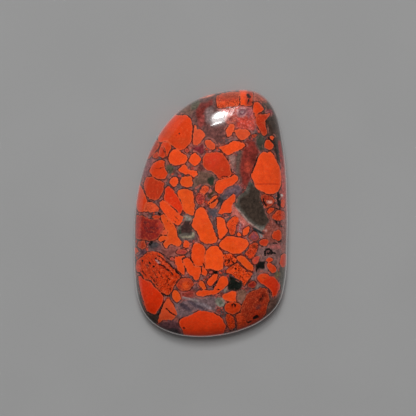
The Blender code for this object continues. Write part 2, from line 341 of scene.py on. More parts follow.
        (0.7, -12.6), (1.0, -11.9), (1.3, -11.2), (1.6, -10.8), (2.1, -10.65), (2.6, -10.8),
        (2.9, -11.2), (2.85, -11.8), (2.5, -12.3), (2.0, -12.8), (1.5, -13.2), (0.8, -13.6),
        (0.2, -13.7), (-0.6, -13.8), (-1.4, -14.0), (-2.2, -13.85))),
    Fragment("orange", (
        (0.1, -10.6), (0.5, -10.3), (1.0, -10.3), (1.2, -10.6), (1.0, -11.2), (0.6, -11.6),
        (0.3, -12.0), (-0.1, -12.2), (-0.6, -11.9), (-0.6, -11.6), (-0.2, -11.1))),

    # The lower left
    Fragment("rust", (
        (-5.8, -12.0), (-5.4, -11.4), (-4.8, -11.0), (-4.0, -10.95), (-3.4, -11.2), (-3.0, -11.7),
        (-3.1, -12.2), (-3.5, -12.7), (-4.0, -13.0), (-4.8, -13.0), (-5.5, -12.8)), 0.6),
    Fragment("rust", (
        (-9.9, -6.45), (-10.5, -6.6), (-11.0, -6.95), (-11.5, -7.4), (-12.1, -7.8), (-12.5, -8.2),
        (-12.65, -9.0), (-12.6, -9.6), (-12.3, -9.95), (-11.9, -10.0), (-11.5, -10.7),
        (-11.1, -11.15), (-10.3, -11.25), (-9.8, -11.6), (-9.2, -12.4), (-8.7, -12.9),
        (-8.4, -13.3), (-8.0, -13.5), (-7.4, -13.75), (-7.0, -13.6), (-6.6, -13.2), (-6.3, -12.6),
        (-6.1, -12.0), (-5.6, -11.3), (-5.1, -10.75), (-5.3, -10.4), (-5.9, -9.8), (-6.5, -9.1),
        (-7.2, -8.4), (-7.9, -7.6), (-8.4, -6.9), (-9.2, -6.55)), 0.8),
    Fragment("scarlet", (
        (-12.15, -10.7), (-11.8, -10.7), (-11.5, -11.1), (-10.9, -11.4), (-10.3, -11.5),
        (-9.9, -12.0), (-9.4, -12.6), (-8.9, -13.0), (-8.5, -13.4), (-8.2, -13.9), (-8.05, -14.4),
        (-8.1, -14.9), (-8.4, -15.6), (-8.9, -16.4), (-9.3, -16.9), (-9.7, -17.0), (-10.2, -16.8),
        (-10.7, -16.5), (-11.0, -15.9), (-11.25, -15.0), (-11.6, -14.0), (-11.85, -13.0),
        (-12.1, -12.0))),
    Fragment("amber", (
        (-6.6, -13.7), (-6.2, -13.0), (-5.6, -13.2), (-5.3, -13.9), (-5.2, -14.6), (-5.7, -15.0),
        (-6.2, -14.6)), 0.0, 0.05),
    Fragment("coral", (
        (-7.3, -14.5), (-7.05, -14.45), (-6.8, -14.9), (-6.4, -15.5), (-6.1, -16.0), (-5.8, -16.6),
        (-5.7, -17.0), (-6.0, -17.3), (-6.2, -17.8), (-6.8, -18.0), (-7.5, -18.0), (-8.2, -18.1),
        (-8.7, -18.5), (-8.9, -18.3), (-8.7, -17.6), (-8.5, -16.9), (-8.3, -16.2), (-8.0, -15.5),
        (-7.7, -14.9))),

    # The bottom end and the lower right
    Fragment("poppy", (
        (-5.3, -18.5), (-5.2, -18.1), (-4.9, -17.8), (-4.3, -17.6), (-3.5, -17.3), (-2.8, -16.9),
        (-2.3, -16.65), (-1.9, -16.5), (-1.5, -16.6), (-0.8, -16.65), (-0.2, -16.7), (0.4, -16.9),
        (1.0, -17.2), (1.6, -17.6), (2.1, -18.1), (2.4, -18.8), (2.6, -19.2), (2.3, -19.7),
        (2.1, -20.3), (1.7, -21.0), (-1.0, -21.4), (-4.2, -21.2), (-4.6, -20.3), (-4.8, -19.6),
        (-5.1, -19.1))),
    Fragment("orange", (
        (2.0, -14.0), (2.4, -13.7), (2.9, -13.5), (3.4, -13.3), (4.1, -13.2), (4.3, -13.5),
        (4.2, -14.0), (4.2, -14.6), (4.3, -15.0), (3.9, -15.05), (3.2, -14.9), (2.7, -14.7),
        (2.2, -14.4))),
    Fragment("rust", (
        (2.7, -17.1), (3.5, -17.2), (4.0, -18.0), (4.1, -19.3), (3.3, -19.7), (2.8, -18.8),
        (2.6, -17.8)), 0.9),
    Fragment("wine", (
        (6.2, -12.2), (6.5, -11.7), (7.2, -11.5), (7.7, -11.8), (7.6, -12.3), (6.9, -12.6)), 0.5),
    Fragment("clay", (
        (6.0, -14.2), (6.3, -13.6), (7.0, -13.2), (7.7, -13.0), (8.4, -12.6), (9.0, -12.7),
        (9.4, -13.1), (9.7, -13.8), (9.9, -14.6), (9.7, -15.0), (9.5, -15.6), (9.4, -16.3),
        (9.2, -17.0), (8.7, -17.8), (8.2, -18.5), (7.5, -19.0), (6.5, -19.5), (5.5, -19.8),
        (4.6, -20.1), (4.4, -19.5), (4.5, -18.8), (4.4, -18.0), (4.2, -17.4), (4.5, -17.0),
        (5.0, -16.9), (5.1, -16.3), (5.2, -15.9), (5.4, -15.3), (5.7, -14.8)), 0.65),
    Fragment("rust", (
        (2.4, -15.9), (2.6, -15.4), (3.1, -15.0), (3.7, -14.95), (4.5, -15.1), (5.0, -15.4),
        (5.1, -16.0), (4.9, -16.5), (4.3, -16.9), (3.8, -17.1), (3.2, -16.9), (2.6, -16.5)), 0.3),
)

# Soft-edged pools of other colours in the chalcedony: colour, width of the edge, outline, grain
POOLS = (
    # Wide tints
    Pool((100, 66, 62), 1.6, (
        (-5.5, 18.0), (-2.5, 20.0), (2.0, 20.5), (2.6, 13.0), (-1.0, 11.5), (-3.2, 14.0))),
    Pool((74, 54, 46), 1.0, (
        (8.4, 19.4), (9.6, 20.0), (11.4, 17.0), (12.6, 11.0), (10.4, 10.6), (9.2, 14.0))),
    Pool((190, 74, 66), 0.5, ((12.0, 9.0), (13.0, 9.0), (13.1, -2.0), (12.4, -2.0), (12.0, 3.0))),
    Pool((140, 72, 60), 1.0, (
        (9.3, 1.2), (12.4, 1.0), (12.6, -2.6), (11.8, -5.4), (9.6, -5.6), (9.0, -3.2), (9.8, -1.2))),
    Pool((128, 92, 88), 1.0, (
        (8.2, -5.6), (12.8, -5.2), (12.6, -9.0), (8.6, -10.2), (7.2, -11.0), (7.6, -8.6))),
    Pool((134, 72, 64), 0.8, ((-8.2, -5.8), (-5.8, -5.6), (-5.4, -7.0), (-6.6, -8.2), (-8.0, -7.2))),
    Pool((130, 74, 76), 0.9, ((-10.9, 9.4), (-9.9, 9.6), (-9.6, 8.4), (-10.6, 6.4), (-11.8, 6.2))),
    Pool((62, 58, 52), 0.4, (
        (-13.0, -11.3), (-12.4, -11.3), (-12.2, -13.5), (-11.6, -15.2), (-10.9, -16.6),
        (-10.0, -17.0), (-10.2, -18.8), (-11.6, -17.4), (-12.5, -15.0), (-13.0, -13.0))),
    Pool((122, 96, 98), 0.6, (
        (-6.3, -15.0), (-5.0, -14.3), (-1.5, -14.2), (0.8, -14.2), (1.0, -15.2), (0.6, -16.6),
        (-1.5, -16.5), (-3.5, -17.1), (-5.6, -17.6), (-6.0, -16.4))),

    # The top and the upper right
    Pool((170, 76, 68), 0.9, (
        (2.2, 18.4), (4.8, 18.6), (6.9, 18.2), (7.6, 16.0), (7.4, 14.2), (4.2, 13.8), (3.0, 15.4),
        (2.4, 16.8)), 0.1),
    # Pale pink grainy patch beside the highlight; its white specks are partly painted sparkle
    Pool((196, 98, 90), 0.8, (
        (1.4, 17.7), (3.2, 18.4), (4.6, 18.3), (4.5, 17.2), (3.2, 16.4), (2.4, 16.9)), 1.0),
    Pool((174, 82, 66), 0.6, ((2.4, 16.1), (3.6, 16.6), (4.3, 16.0), (4.0, 15.0), (2.9, 15.0))),
    Pool((132, 50, 44), 0.4, ((2.9, 15.9), (3.3, 16.2), (3.7, 15.8), (3.2, 15.4))),
    Pool((194, 66, 50), 0.6, (
        (4.4, 15.3), (4.9, 16.2), (5.9, 16.3), (6.9, 16.0), (6.9, 15.0), (6.2, 14.3), (5.0, 14.3),
        (4.5, 14.7))),
    Pool((180, 122, 120), 0.3, (
        (4.3, 17.0), (4.9, 17.9), (5.8, 17.9), (6.2, 17.2), (5.6, 16.3), (4.7, 16.3))),
    Pool((124, 66, 78), 0.25, (
        (4.7, 17.1), (5.1, 17.6), (5.7, 17.6), (5.9, 17.1), (5.5, 16.6), (4.9, 16.6))),
    Pool((160, 122, 124), 0.2, ((4.95, 17.1), (5.3, 17.4), (5.65, 17.1), (5.3, 16.8))),
    Pool((96, 84, 80), 0.15, ((5.15, 17.1), (5.3, 17.2), (5.45, 17.1), (5.3, 17.0))),
    Pool((152, 78, 82), 0.5, ((6.0, 18.0), (6.9, 18.2), (7.1, 16.8), (6.4, 16.0), (6.1, 16.8))),
    Pool((190, 72, 60), 0.6, ((6.7, 16.3), (7.5, 16.4), (7.7, 15.2), (7.2, 14.0), (6.6, 14.8))),
    Pool((154, 76, 60), 0.7, (
        (7.0, 21.0), (8.6, 20.6), (9.4, 19.8), (9.6, 18.9), (8.6, 18.9), (7.2, 19.0))),
    Pool((106, 64, 60), 0.6, (
        (-0.9, 14.9), (0.2, 15.1), (1.8, 15.1), (2.3, 14.4), (2.3, 13.2), (1.6, 12.1), (0.9, 12.0),
        (0.2, 12.4), (-0.5, 12.9), (-0.8, 13.8))),
    Pool((112, 42, 36), 0.5, (
        (-2.5, 17.6), (-1.9, 18.6), (-0.6, 18.8), (0.2, 19.4), (0.3, 18.4), (-0.8, 17.6),
        (-1.4, 16.4), (-2.0, 15.6), (-2.4, 16.3))),
    Pool((142, 62, 56), 0.6, ((-2.2, 15.4), (-1.4, 16.6), (-0.8, 16.4), (-1.1, 15.2), (-1.8, 14.4))),
    Pool((96, 40, 36), 0.35, ((-1.0, 17.4), (-0.7, 17.5), (-0.8, 15.2), (-1.1, 14.8))),
    # A painted glow: soft pale grey left of the bright lamp's highlight, merging into it
    Pool((126, 104, 102), 0.9, ((-0.8, 17.5), (0.3, 17.9), (0.5, 16.4), (-0.1, 15.3), (-0.8, 15.6))),
    Pool((112, 78, 66), 0.5, ((-5.2, 17.0), (-4.4, 18.1), (-3.2, 18.2), (-3.0, 17.0), (-4.0, 16.6))),
    Pool((84, 76, 62), 0.4, ((-3.4, 17.6), (-3.2, 18.8), (-2.2, 19.2), (-1.8, 18.7), (-2.5, 17.6))),
    Pool((214, 116, 94), 0.3, ((-1.9, 19.5), (-0.8, 20.0), (0.5, 20.5), (0.6, 20.1), (-0.8, 19.6))),
    Pool((120, 38, 48), 0.5, ((9.2, 17.3), (10.1, 17.6), (10.6, 16.9), (10.0, 16.5), (9.5, 16.8))),
    Pool((60, 44, 36), 0.5, (
        (9.3, 15.6), (10.2, 16.2), (10.9, 16.0), (11.2, 14.8), (10.9, 14.2), (9.8, 14.4),
        (9.2, 15.0))),
    Pool((70, 68, 58), 0.4, (
        (7.6, 12.9), (8.3, 13.4), (9.0, 12.9), (9.2, 12.0), (9.1, 11.0), (8.9, 10.6), (8.2, 10.7),
        (7.9, 11.4), (7.6, 12.2))),
    Pool((146, 106, 98), 0.5, (
        (3.0, 9.8), (3.8, 9.9), (4.4, 9.2), (3.9, 8.0), (3.6, 7.2), (3.4, 8.4))),
    Pool((96, 74, 66), 0.5, (
        (4.4, 9.8), (5.6, 10.8), (5.6, 8.0), (5.0, 5.6), (4.5, 6.4), (4.2, 8.2))),
    Pool((130, 46, 38), 0.7, (
        (5.9, 12.1), (6.7, 12.3), (7.4, 12.1), (7.7, 11.3), (8.1, 10.5), (8.1, 9.9), (8.0, 8.9),
        (7.5, 7.8), (7.0, 6.7), (6.8, 6.1), (6.2, 5.0), (5.5, 4.6), (5.1, 6.0), (4.9, 7.5),
        (5.1, 9.0), (5.4, 10.5))),
    Pool((162, 58, 42), 0.6, ((5.7, 8.5), (6.4, 8.9), (7.0, 7.8), (6.5, 6.8), (5.8, 7.2))),
    Pool((104, 36, 28), 0.5, ((6.9, 9.8), (7.8, 10.4), (7.9, 9.4), (7.4, 8.4), (6.9, 8.8))),
    Pool((106, 80, 88), 0.7, (
        (1.9, 3.0), (2.8, 4.1), (4.2, 4.8), (5.1, 4.4), (5.0, 3.4), (4.2, 2.9), (3.0, 2.8))),
    Pool((146, 42, 40), 0.25, (
        (11.4, 12.2), (11.8, 12.2), (12.1, 10.5), (12.3, 9.0), (12.3, 7.6), (11.95, 8.4),
        (11.7, 9.8), (11.4, 11.2))),
    Pool((58, 44, 40), 0.35, (
        (10.7, 12.4), (11.3, 12.0), (11.6, 10.0), (11.8, 8.3), (11.3, 8.6), (11.0, 9.8),
        (10.7, 10.8))),

    # The smoky window on the right and what surrounds it
    Pool((170, 76, 72), 0.6, (
        (4.2, -1.4), (5.4, -1.6), (6.2, -2.2), (5.4, -3.2), (4.6, -3.2), (4.2, -2.4)), 0.3),
    Pool((132, 86, 94), 0.25, ((4.9, -1.3), (5.2, -1.5), (5.1, -2.6), (4.8, -3.0))),
    Pool((142, 72, 61), 0.6, (
        (9.8, -1.0), (11.6, -1.3), (12.8, -1.0), (12.8, -7.0), (12.0, -7.0), (12.1, -4.6),
        (12.0, -2.8), (10.4, -2.6), (9.6, -2.0)), 0.1),
    Pool((78, 40, 38), 0.3, ((10.6, -1.0), (11.6, -1.1), (11.9, -2.2), (11.4, -2.1), (10.8, -1.6))),
    Pool((172, 92, 86), 0.6, ((9.4, -5.6), (11.6, -5.2), (12.0, -6.0), (10.6, -6.0)), 0.1),
    Pool((192, 102, 90), 0.5, (
        (3.6, 1.6), (4.2, 1.1), (5.0, 0.1), (6.0, -1.2), (6.7, -2.2), (5.8, -2.1), (4.9, -1.5),
        (4.4, -0.7), (3.6, 0.0))),
    Pool((86, 80, 72), 0.25, (
        (6.5, 5.4), (7.2, 5.0), (7.4, 4.6), (8.1, 3.9), (8.4, 3.0), (8.4, 2.2), (8.9, 1.0),
        (9.2, 0.2), (9.5, -0.5), (9.9, -1.2), (9.4, -2.0), (8.9, -2.8), (8.5, -3.1), (7.6, -2.5),
        (6.9, -1.9), (6.1, -1.3), (5.3, -0.5), (4.7, 0.3), (4.1, 1.1), (4.1, 1.9), (4.4, 2.6),
        (5.0, 3.2), (5.7, 3.7), (6.1, 4.5))),
    Pool((60, 48, 40), 0.6, (
        (6.9, 4.8), (7.4, 4.5), (8.1, 3.9), (8.4, 3.0), (8.4, 2.2), (8.9, 1.0), (9.2, 0.2),
        (9.5, -0.5), (9.9, -1.2), (9.4, -1.9), (8.7, -2.4), (8.0, -2.0), (7.0, -1.3), (6.2, -0.5),
        (5.5, 0.3), (5.0, 1.1), (4.8, 1.9), (5.0, 2.5), (5.7, 3.0), (6.4, 3.5), (6.6, 4.3))),
    Pool((158, 128, 120), 0.2, (
        (4.0, 1.2), (4.2, 1.2), (5.4, -0.1), (6.4, -1.3), (7.5, -2.1), (8.6, -2.8), (8.5, -3.05),
        (7.4, -2.4), (6.3, -1.6), (5.2, -0.3))),
    Pool((112, 108, 100), 0.5, ((7.4, -2.0), (8.2, -2.2), (9.2, -2.2), (9.0, -2.8), (8.3, -2.8))),
    Pool((36, 46, 46), 0.2, (
        (6.9, -2.4), (7.6, -2.5), (8.9, -3.3), (8.9, -3.6), (8.1, -3.3), (7.2, -2.8))),
    Pool((140, 142, 140), 0.3, ((7.6, -3.3), (8.4, -3.5), (8.9, -3.9), (8.4, -4.2), (7.9, -3.9))),
    Pool((190, 140, 130), 0.3, ((9.1, -2.8), (9.4, -2.7), (9.5, -3.0), (9.2, -3.1))),
    Pool((18, 15, 11), 0.12, (
        (7.55, -8.6), (8.0, -8.2), (8.8, -8.1), (9.3, -8.1), (9.2, -8.8), (9.1, -9.3), (8.8, -9.45),
        (8.2, -9.35), (7.9, -9.6), (7.8, -10.0), (7.55, -9.7), (7.6, -9.1))),
    Pool((150, 84, 74), 0.4, ((8.0, -9.7), (8.8, -9.6), (8.9, -10.0), (8.1, -10.2))),
    Pool((104, 64, 60), 0.4, ((9.2, -6.4), (9.9, -6.1), (10.3, -6.7), (10.0, -7.1), (9.3, -7.1))),
    Pool((196, 184, 176), 0.2, ((11.8, 3.1), (12.0, 3.3), (12.25, 3.05), (12.05, 2.75))),
    Pool((58, 50, 52), 0.3, ((1.2, 2.5), (1.6, 2.8), (2.2, 2.3), (2.1, 1.8), (1.7, 1.1), (1.3, 1.0))),
    Pool((92, 80, 84), 0.4, ((1.5, 3.0), (2.1, 3.4), (2.8, 2.9), (2.6, 2.3), (2.0, 2.4))),
    Pool((44, 26, 22), 0.25, ((0.5, 4.4), (0.8, 4.5), (1.3, 3.1), (1.0, 2.9), (0.6, 3.4))),
    Pool((90, 80, 86), 0.5, (
        (-0.7, 0.9), (-0.1, 0.7), (0.9, 0.7), (1.3, 0.0), (1.1, -0.7), (0.4, -0.9), (0.0, -0.4))),

    # The left side and the middle
    Pool((78, 72, 56), 0.4, (
        (-7.5, 8.2), (-6.5, 8.0), (-6.2, 7.4), (-6.7, 6.6), (-7.4, 6.7), (-7.6, 7.4))),
    Pool((54, 60, 49), 0.3, ((-7.5, 7.3), (-7.0, 7.4), (-6.8, 6.9), (-7.2, 6.6))),
    Pool((110, 80, 68), 0.5, (
        (-2.4, 6.9), (-1.5, 7.1), (0.0, 6.9), (0.8, 6.2), (0.8, 5.4), (0.5, 4.6), (-0.3, 4.6),
        (-1.6, 4.9), (-2.9, 4.4), (-2.9, 5.5))),
    Pool((42, 50, 38), 0.35, (
        (-0.5, 5.9), (0.3, 6.2), (0.7, 5.6), (0.6, 4.9), (0.0, 4.7), (-0.5, 5.2))),
    Pool((70, 52, 34), 0.4, ((-0.6, 2.9), (0.1, 3.6), (0.7, 4.2), (0.8, 3.4), (-0.2, 2.5))),
    Pool((100, 90, 82), 0.35, (
        (-5.5, -1.7), (-4.8, -0.4), (-2.9, -0.2), (-2.8, -1.2), (-2.7, -3.0), (-2.8, -4.3),
        (-4.6, -4.4), (-5.5, -3.7))),
    Pool((66, 44, 40), 0.4, (
        (-5.0, -2.2), (-4.7, -1.4), (-3.7, -1.2), (-3.1, -1.6), (-3.1, -2.8), (-3.5, -3.4),
        (-4.4, -3.3), (-5.1, -3.4))),
    Pool((44, 52, 40), 0.25, ((-5.5, -2.9), (-5.1, -2.8), (-5.0, -3.4), (-5.4, -3.5))),
    Pool((150, 138, 116), 0.2, (
        (-4.9, -3.9), (-4.0, -3.8), (-3.3, -3.75), (-3.1, -3.3), (-2.8, -3.2), (-2.8, -4.0),
        (-3.6, -4.15), (-4.8, -4.15))),
    Pool((136, 128, 118), 0.3, (
        (-4.7, -0.5), (-3.9, -0.4), (-3.2, -0.8), (-3.6, -1.2), (-4.4, -1.1))),
    Pool((124, 42, 48), 0.4, (
        (-3.4, 11.5), (-2.4, 11.3), (-1.4, 11.8), (-1.1, 11.4), (-1.3, 10.0), (-2.2, 10.2),
        (-2.9, 10.7))),
    Pool((72, 64, 66), 0.4, (
        (-10.6, -5.2), (-9.9, -4.8), (-8.9, -4.9), (-8.8, -5.6), (-9.6, -5.9), (-10.4, -5.8))),
    Pool((86, 56, 64), 0.6, (
        (-12.3, -6.8), (-11.6, -6.0), (-10.9, -6.2), (-11.2, -6.9), (-12.0, -7.5))),

    # The lower end
    Pool((28, 31, 26), 0.3, (
        (3.2, -10.5), (3.6, -10.7), (4.2, -11.0), (4.8, -11.3), (5.2, -11.5), (5.4, -12.0),
        (5.1, -12.6), (4.7, -13.0), (4.0, -13.1), (3.3, -13.0), (2.9, -12.9), (2.8, -12.3),
        (3.0, -11.6), (3.1, -11.0))),
    Pool((128, 116, 106), 0.3, ((2.2, -12.5), (2.7, -12.2), (2.8, -13.0), (2.3, -13.3))),
    Pool((126, 98, 96), 0.6, ((6.8, -10.4), (7.6, -10.0), (7.9, -11.0), (7.2, -11.4), (6.7, -11.1))),
    Pool((150, 120, 110), 0.3, ((7.4, -12.5), (7.9, -12.0), (8.3, -12.1), (7.9, -12.8))),
    Pool((132, 92, 76), 0.5, (
        (4.5, -13.2), (5.6, -12.9), (6.0, -13.6), (5.6, -14.8), (5.0, -15.2), (4.5, -14.6))),
    Pool((140, 136, 122), 0.3, (
        (0.8, -14.7), (1.2, -14.2), (2.0, -14.3), (2.4, -14.9), (2.2, -15.6), (1.5, -15.8),
        (0.9, -15.4))),
    Pool((104, 104, 90), 0.4, ((1.1, -14.8), (1.5, -14.5), (2.0, -14.8), (1.9, -15.3), (1.4, -15.4))),
    Pool((152, 60, 50), 0.8, (
        (-5.4, -12.9), (-3.4, -12.9), (-2.6, -13.6), (-3.4, -14.4), (-5.2, -14.6))),
    Pool((80, 64, 72), 0.35, (
        (-5.4, -14.9), (-4.2, -15.5), (-3.2, -16.3), (-3.6, -16.6), (-5.0, -15.8))),
    Pool((92, 76, 84), 0.3, (
        (-3.8, -14.7), (-2.2, -15.3), (-1.0, -16.1), (-1.2, -16.4), (-2.6, -15.9), (-3.8, -15.0))),
    Pool((140, 122, 126), 0.3, (
        (-2.6, -14.9), (-0.8, -15.3), (0.3, -16.2), (0.0, -16.4), (-1.2, -15.8), (-2.6, -15.2))),
    Pool((150, 132, 130), 0.2, (
        (-4.8, -14.1), (-3.4, -14.3), (-2.2, -14.7), (-2.3, -14.9), (-3.6, -14.6), (-4.7, -14.4))),
    Pool((102, 64, 68), 0.5, (
        (-8.9, -18.6), (-7.0, -18.1), (-5.7, -18.2), (-5.3, -19.2), (-4.9, -20.8), (-6.8, -20.5),
        (-8.4, -19.8))),
    Pool((62, 50, 52), 0.4, (
        (-7.4, -19.8), (-6.4, -19.4), (-5.6, -19.7), (-5.6, -20.4), (-6.8, -20.2))),
    Pool((62, 48, 42), 0.4, (
        (-9.2, -17.0), (-8.7, -16.8), (-9.0, -18.4), (-9.4, -19.0), (-10.4, -18.2),
        (-10.5, -17.2))),
    Pool((110, 78, 68), 0.5, (
        (9.9, -13.6), (10.6, -14.6), (11.6, -13.6), (12.6, -13.0), (12.0, -15.0), (11.0, -17.0),
        (9.8, -18.6), (8.6, -19.0), (9.3, -17.4), (9.6, -15.6))),
    Pool((84, 76, 66), 0.5, (
        (11.7, -9.2), (12.6, -9.4), (12.7, -13.0), (11.9, -12.8), (11.6, -10.6))),
    Pool((110, 96, 70), 0.5, (
        (10.9, -10.0), (11.4, -9.7), (11.7, -10.2), (11.4, -11.2), (10.9, -10.8))),
)

# Patches of another colour within the fragments
STAINS = (
    Pool((198, 62, 22), 1.2, (
        (-8.6, 13.2), (-6.4, 12.0), (-4.0, 11.2), (-3.4, 12.8), (-5.6, 12.9), (-7.6, 14.4))),
    Pool((216, 60, 34), 1.6, ((-1.3, 9.0), (0.6, 10.3), (1.6, 9.4), (0.4, 7.8))),
    Pool((196, 54, 22), 0.3, (
        (7.6, 5.0), (9.4, 5.05), (11.4, 5.0), (11.4, 4.85), (9.4, 4.85), (7.6, 4.8))),
    Pool((244, 186, 168), 0.3, ((9.45, 2.1), (10.25, 2.1), (10.4, 1.75), (9.6, 1.7))),
    Pool((212, 62, 26), 0.8, (
        (4.2, -17.1), (4.9, -16.9), (5.6, -18.0), (6.0, -19.0), (5.2, -19.4), (4.5, -18.6))),
    Pool((186, 54, 26), 0.8, ((6.4, -17.2), (8.4, -16.0), (9.6, -15.6), (9.2, -17.2), (7.4, -18.6))),
    Pool((170, 56, 36), 0.6, ((6.2, 21.0), (7.2, 20.9), (7.3, 18.4), (6.1, 18.0), (5.9, 19.4))),
    Pool((98, 34, 24), 0.6, ((8.0, -14.5), (8.6, -13.6), (9.2, -13.6), (9.0, -14.4), (8.4, -15.0))),
    Pool((112, 58, 56), 0.6, ((7.6, -15.7), (8.4, -15.5), (8.3, -16.2), (7.7, -16.2))),
    Pool((186, 66, 42), 0.3, (
        (-5.8, -11.8), (-4.6, -11.0), (-3.2, -11.5), (-3.0, -12.6), (-4.2, -13.1), (-5.6, -12.8))),
    Pool((232, 84, 34), 0.5, (
        (-4.9, -12.5), (-4.7, -11.7), (-4.0, -11.5), (-3.5, -12.1), (-3.7, -12.7), (-4.3, -12.9))),
    Pool((98, 28, 34), 0.25, ((-11.3, -1.4), (-10.4, -1.45), (-10.3, -1.75), (-11.1, -1.8))),
    Pool((98, 28, 34), 0.25, (
        (-11.3, -2.4), (-9.8, -2.3), (-8.6, -2.4), (-8.7, -2.65), (-10.2, -2.6), (-11.2, -2.7))),
    Pool((98, 28, 34), 0.25, ((-10.9, -2.9), (-9.6, -3.0), (-9.5, -3.3), (-10.8, -3.2))),
    Pool((172, 56, 48), 0.5, ((-8.7, -1.2), (-8.0, -1.9), (-8.1, -3.2), (-8.7, -3.3), (-8.9, -2.0))),
    Pool((168, 40, 30), 0.5, ((-12.7, -0.4), (-11.8, -0.6), (-12.0, -4.4), (-12.7, -4.4))),
    Pool((146, 72, 80), 0.5, ((6.7, -3.5), (7.3, -3.2), (7.8, -3.7), (7.6, -4.3), (6.9, -4.3))),
    Pool((208, 66, 30), 0.5, ((4.5, -17.2), (5.2, -17.0), (6.2, -18.4), (6.6, -19.6), (4.8, -20.1))),
    Pool((172, 70, 46), 0.6, (
        (0.9, 20.4), (2.6, 20.6), (4.9, 20.7), (4.8, 19.5), (2.6, 19.3), (0.9, 19.4))),
    Pool((236, 84, 44), 0.3, ((-9.3, -7.2), (-8.8, -7.3), (-6.6, -9.6), (-6.8, -9.9), (-8.2, -8.6))),
    Pool((190, 152, 150), 0.25, ((-9.4, -7.85), (-9.1, -7.85), (-8.5, -8.4), (-8.7, -8.6))),
    Pool((112, 46, 34), 0.5, ((-11.0, -8.8), (-10.6, -8.5), (-10.4, -8.9), (-10.7, -9.3))),
    Pool((232, 74, 26), 0.8, ((8.0, -10.8), (8.6, -10.3), (9.6, -10.5), (9.4, -11.1), (8.4, -11.4))),
    Pool((132, 52, 22), 0.4, ((7.0, -5.4), (7.6, -5.3), (7.6, -5.9), (7.1, -5.9))),
)

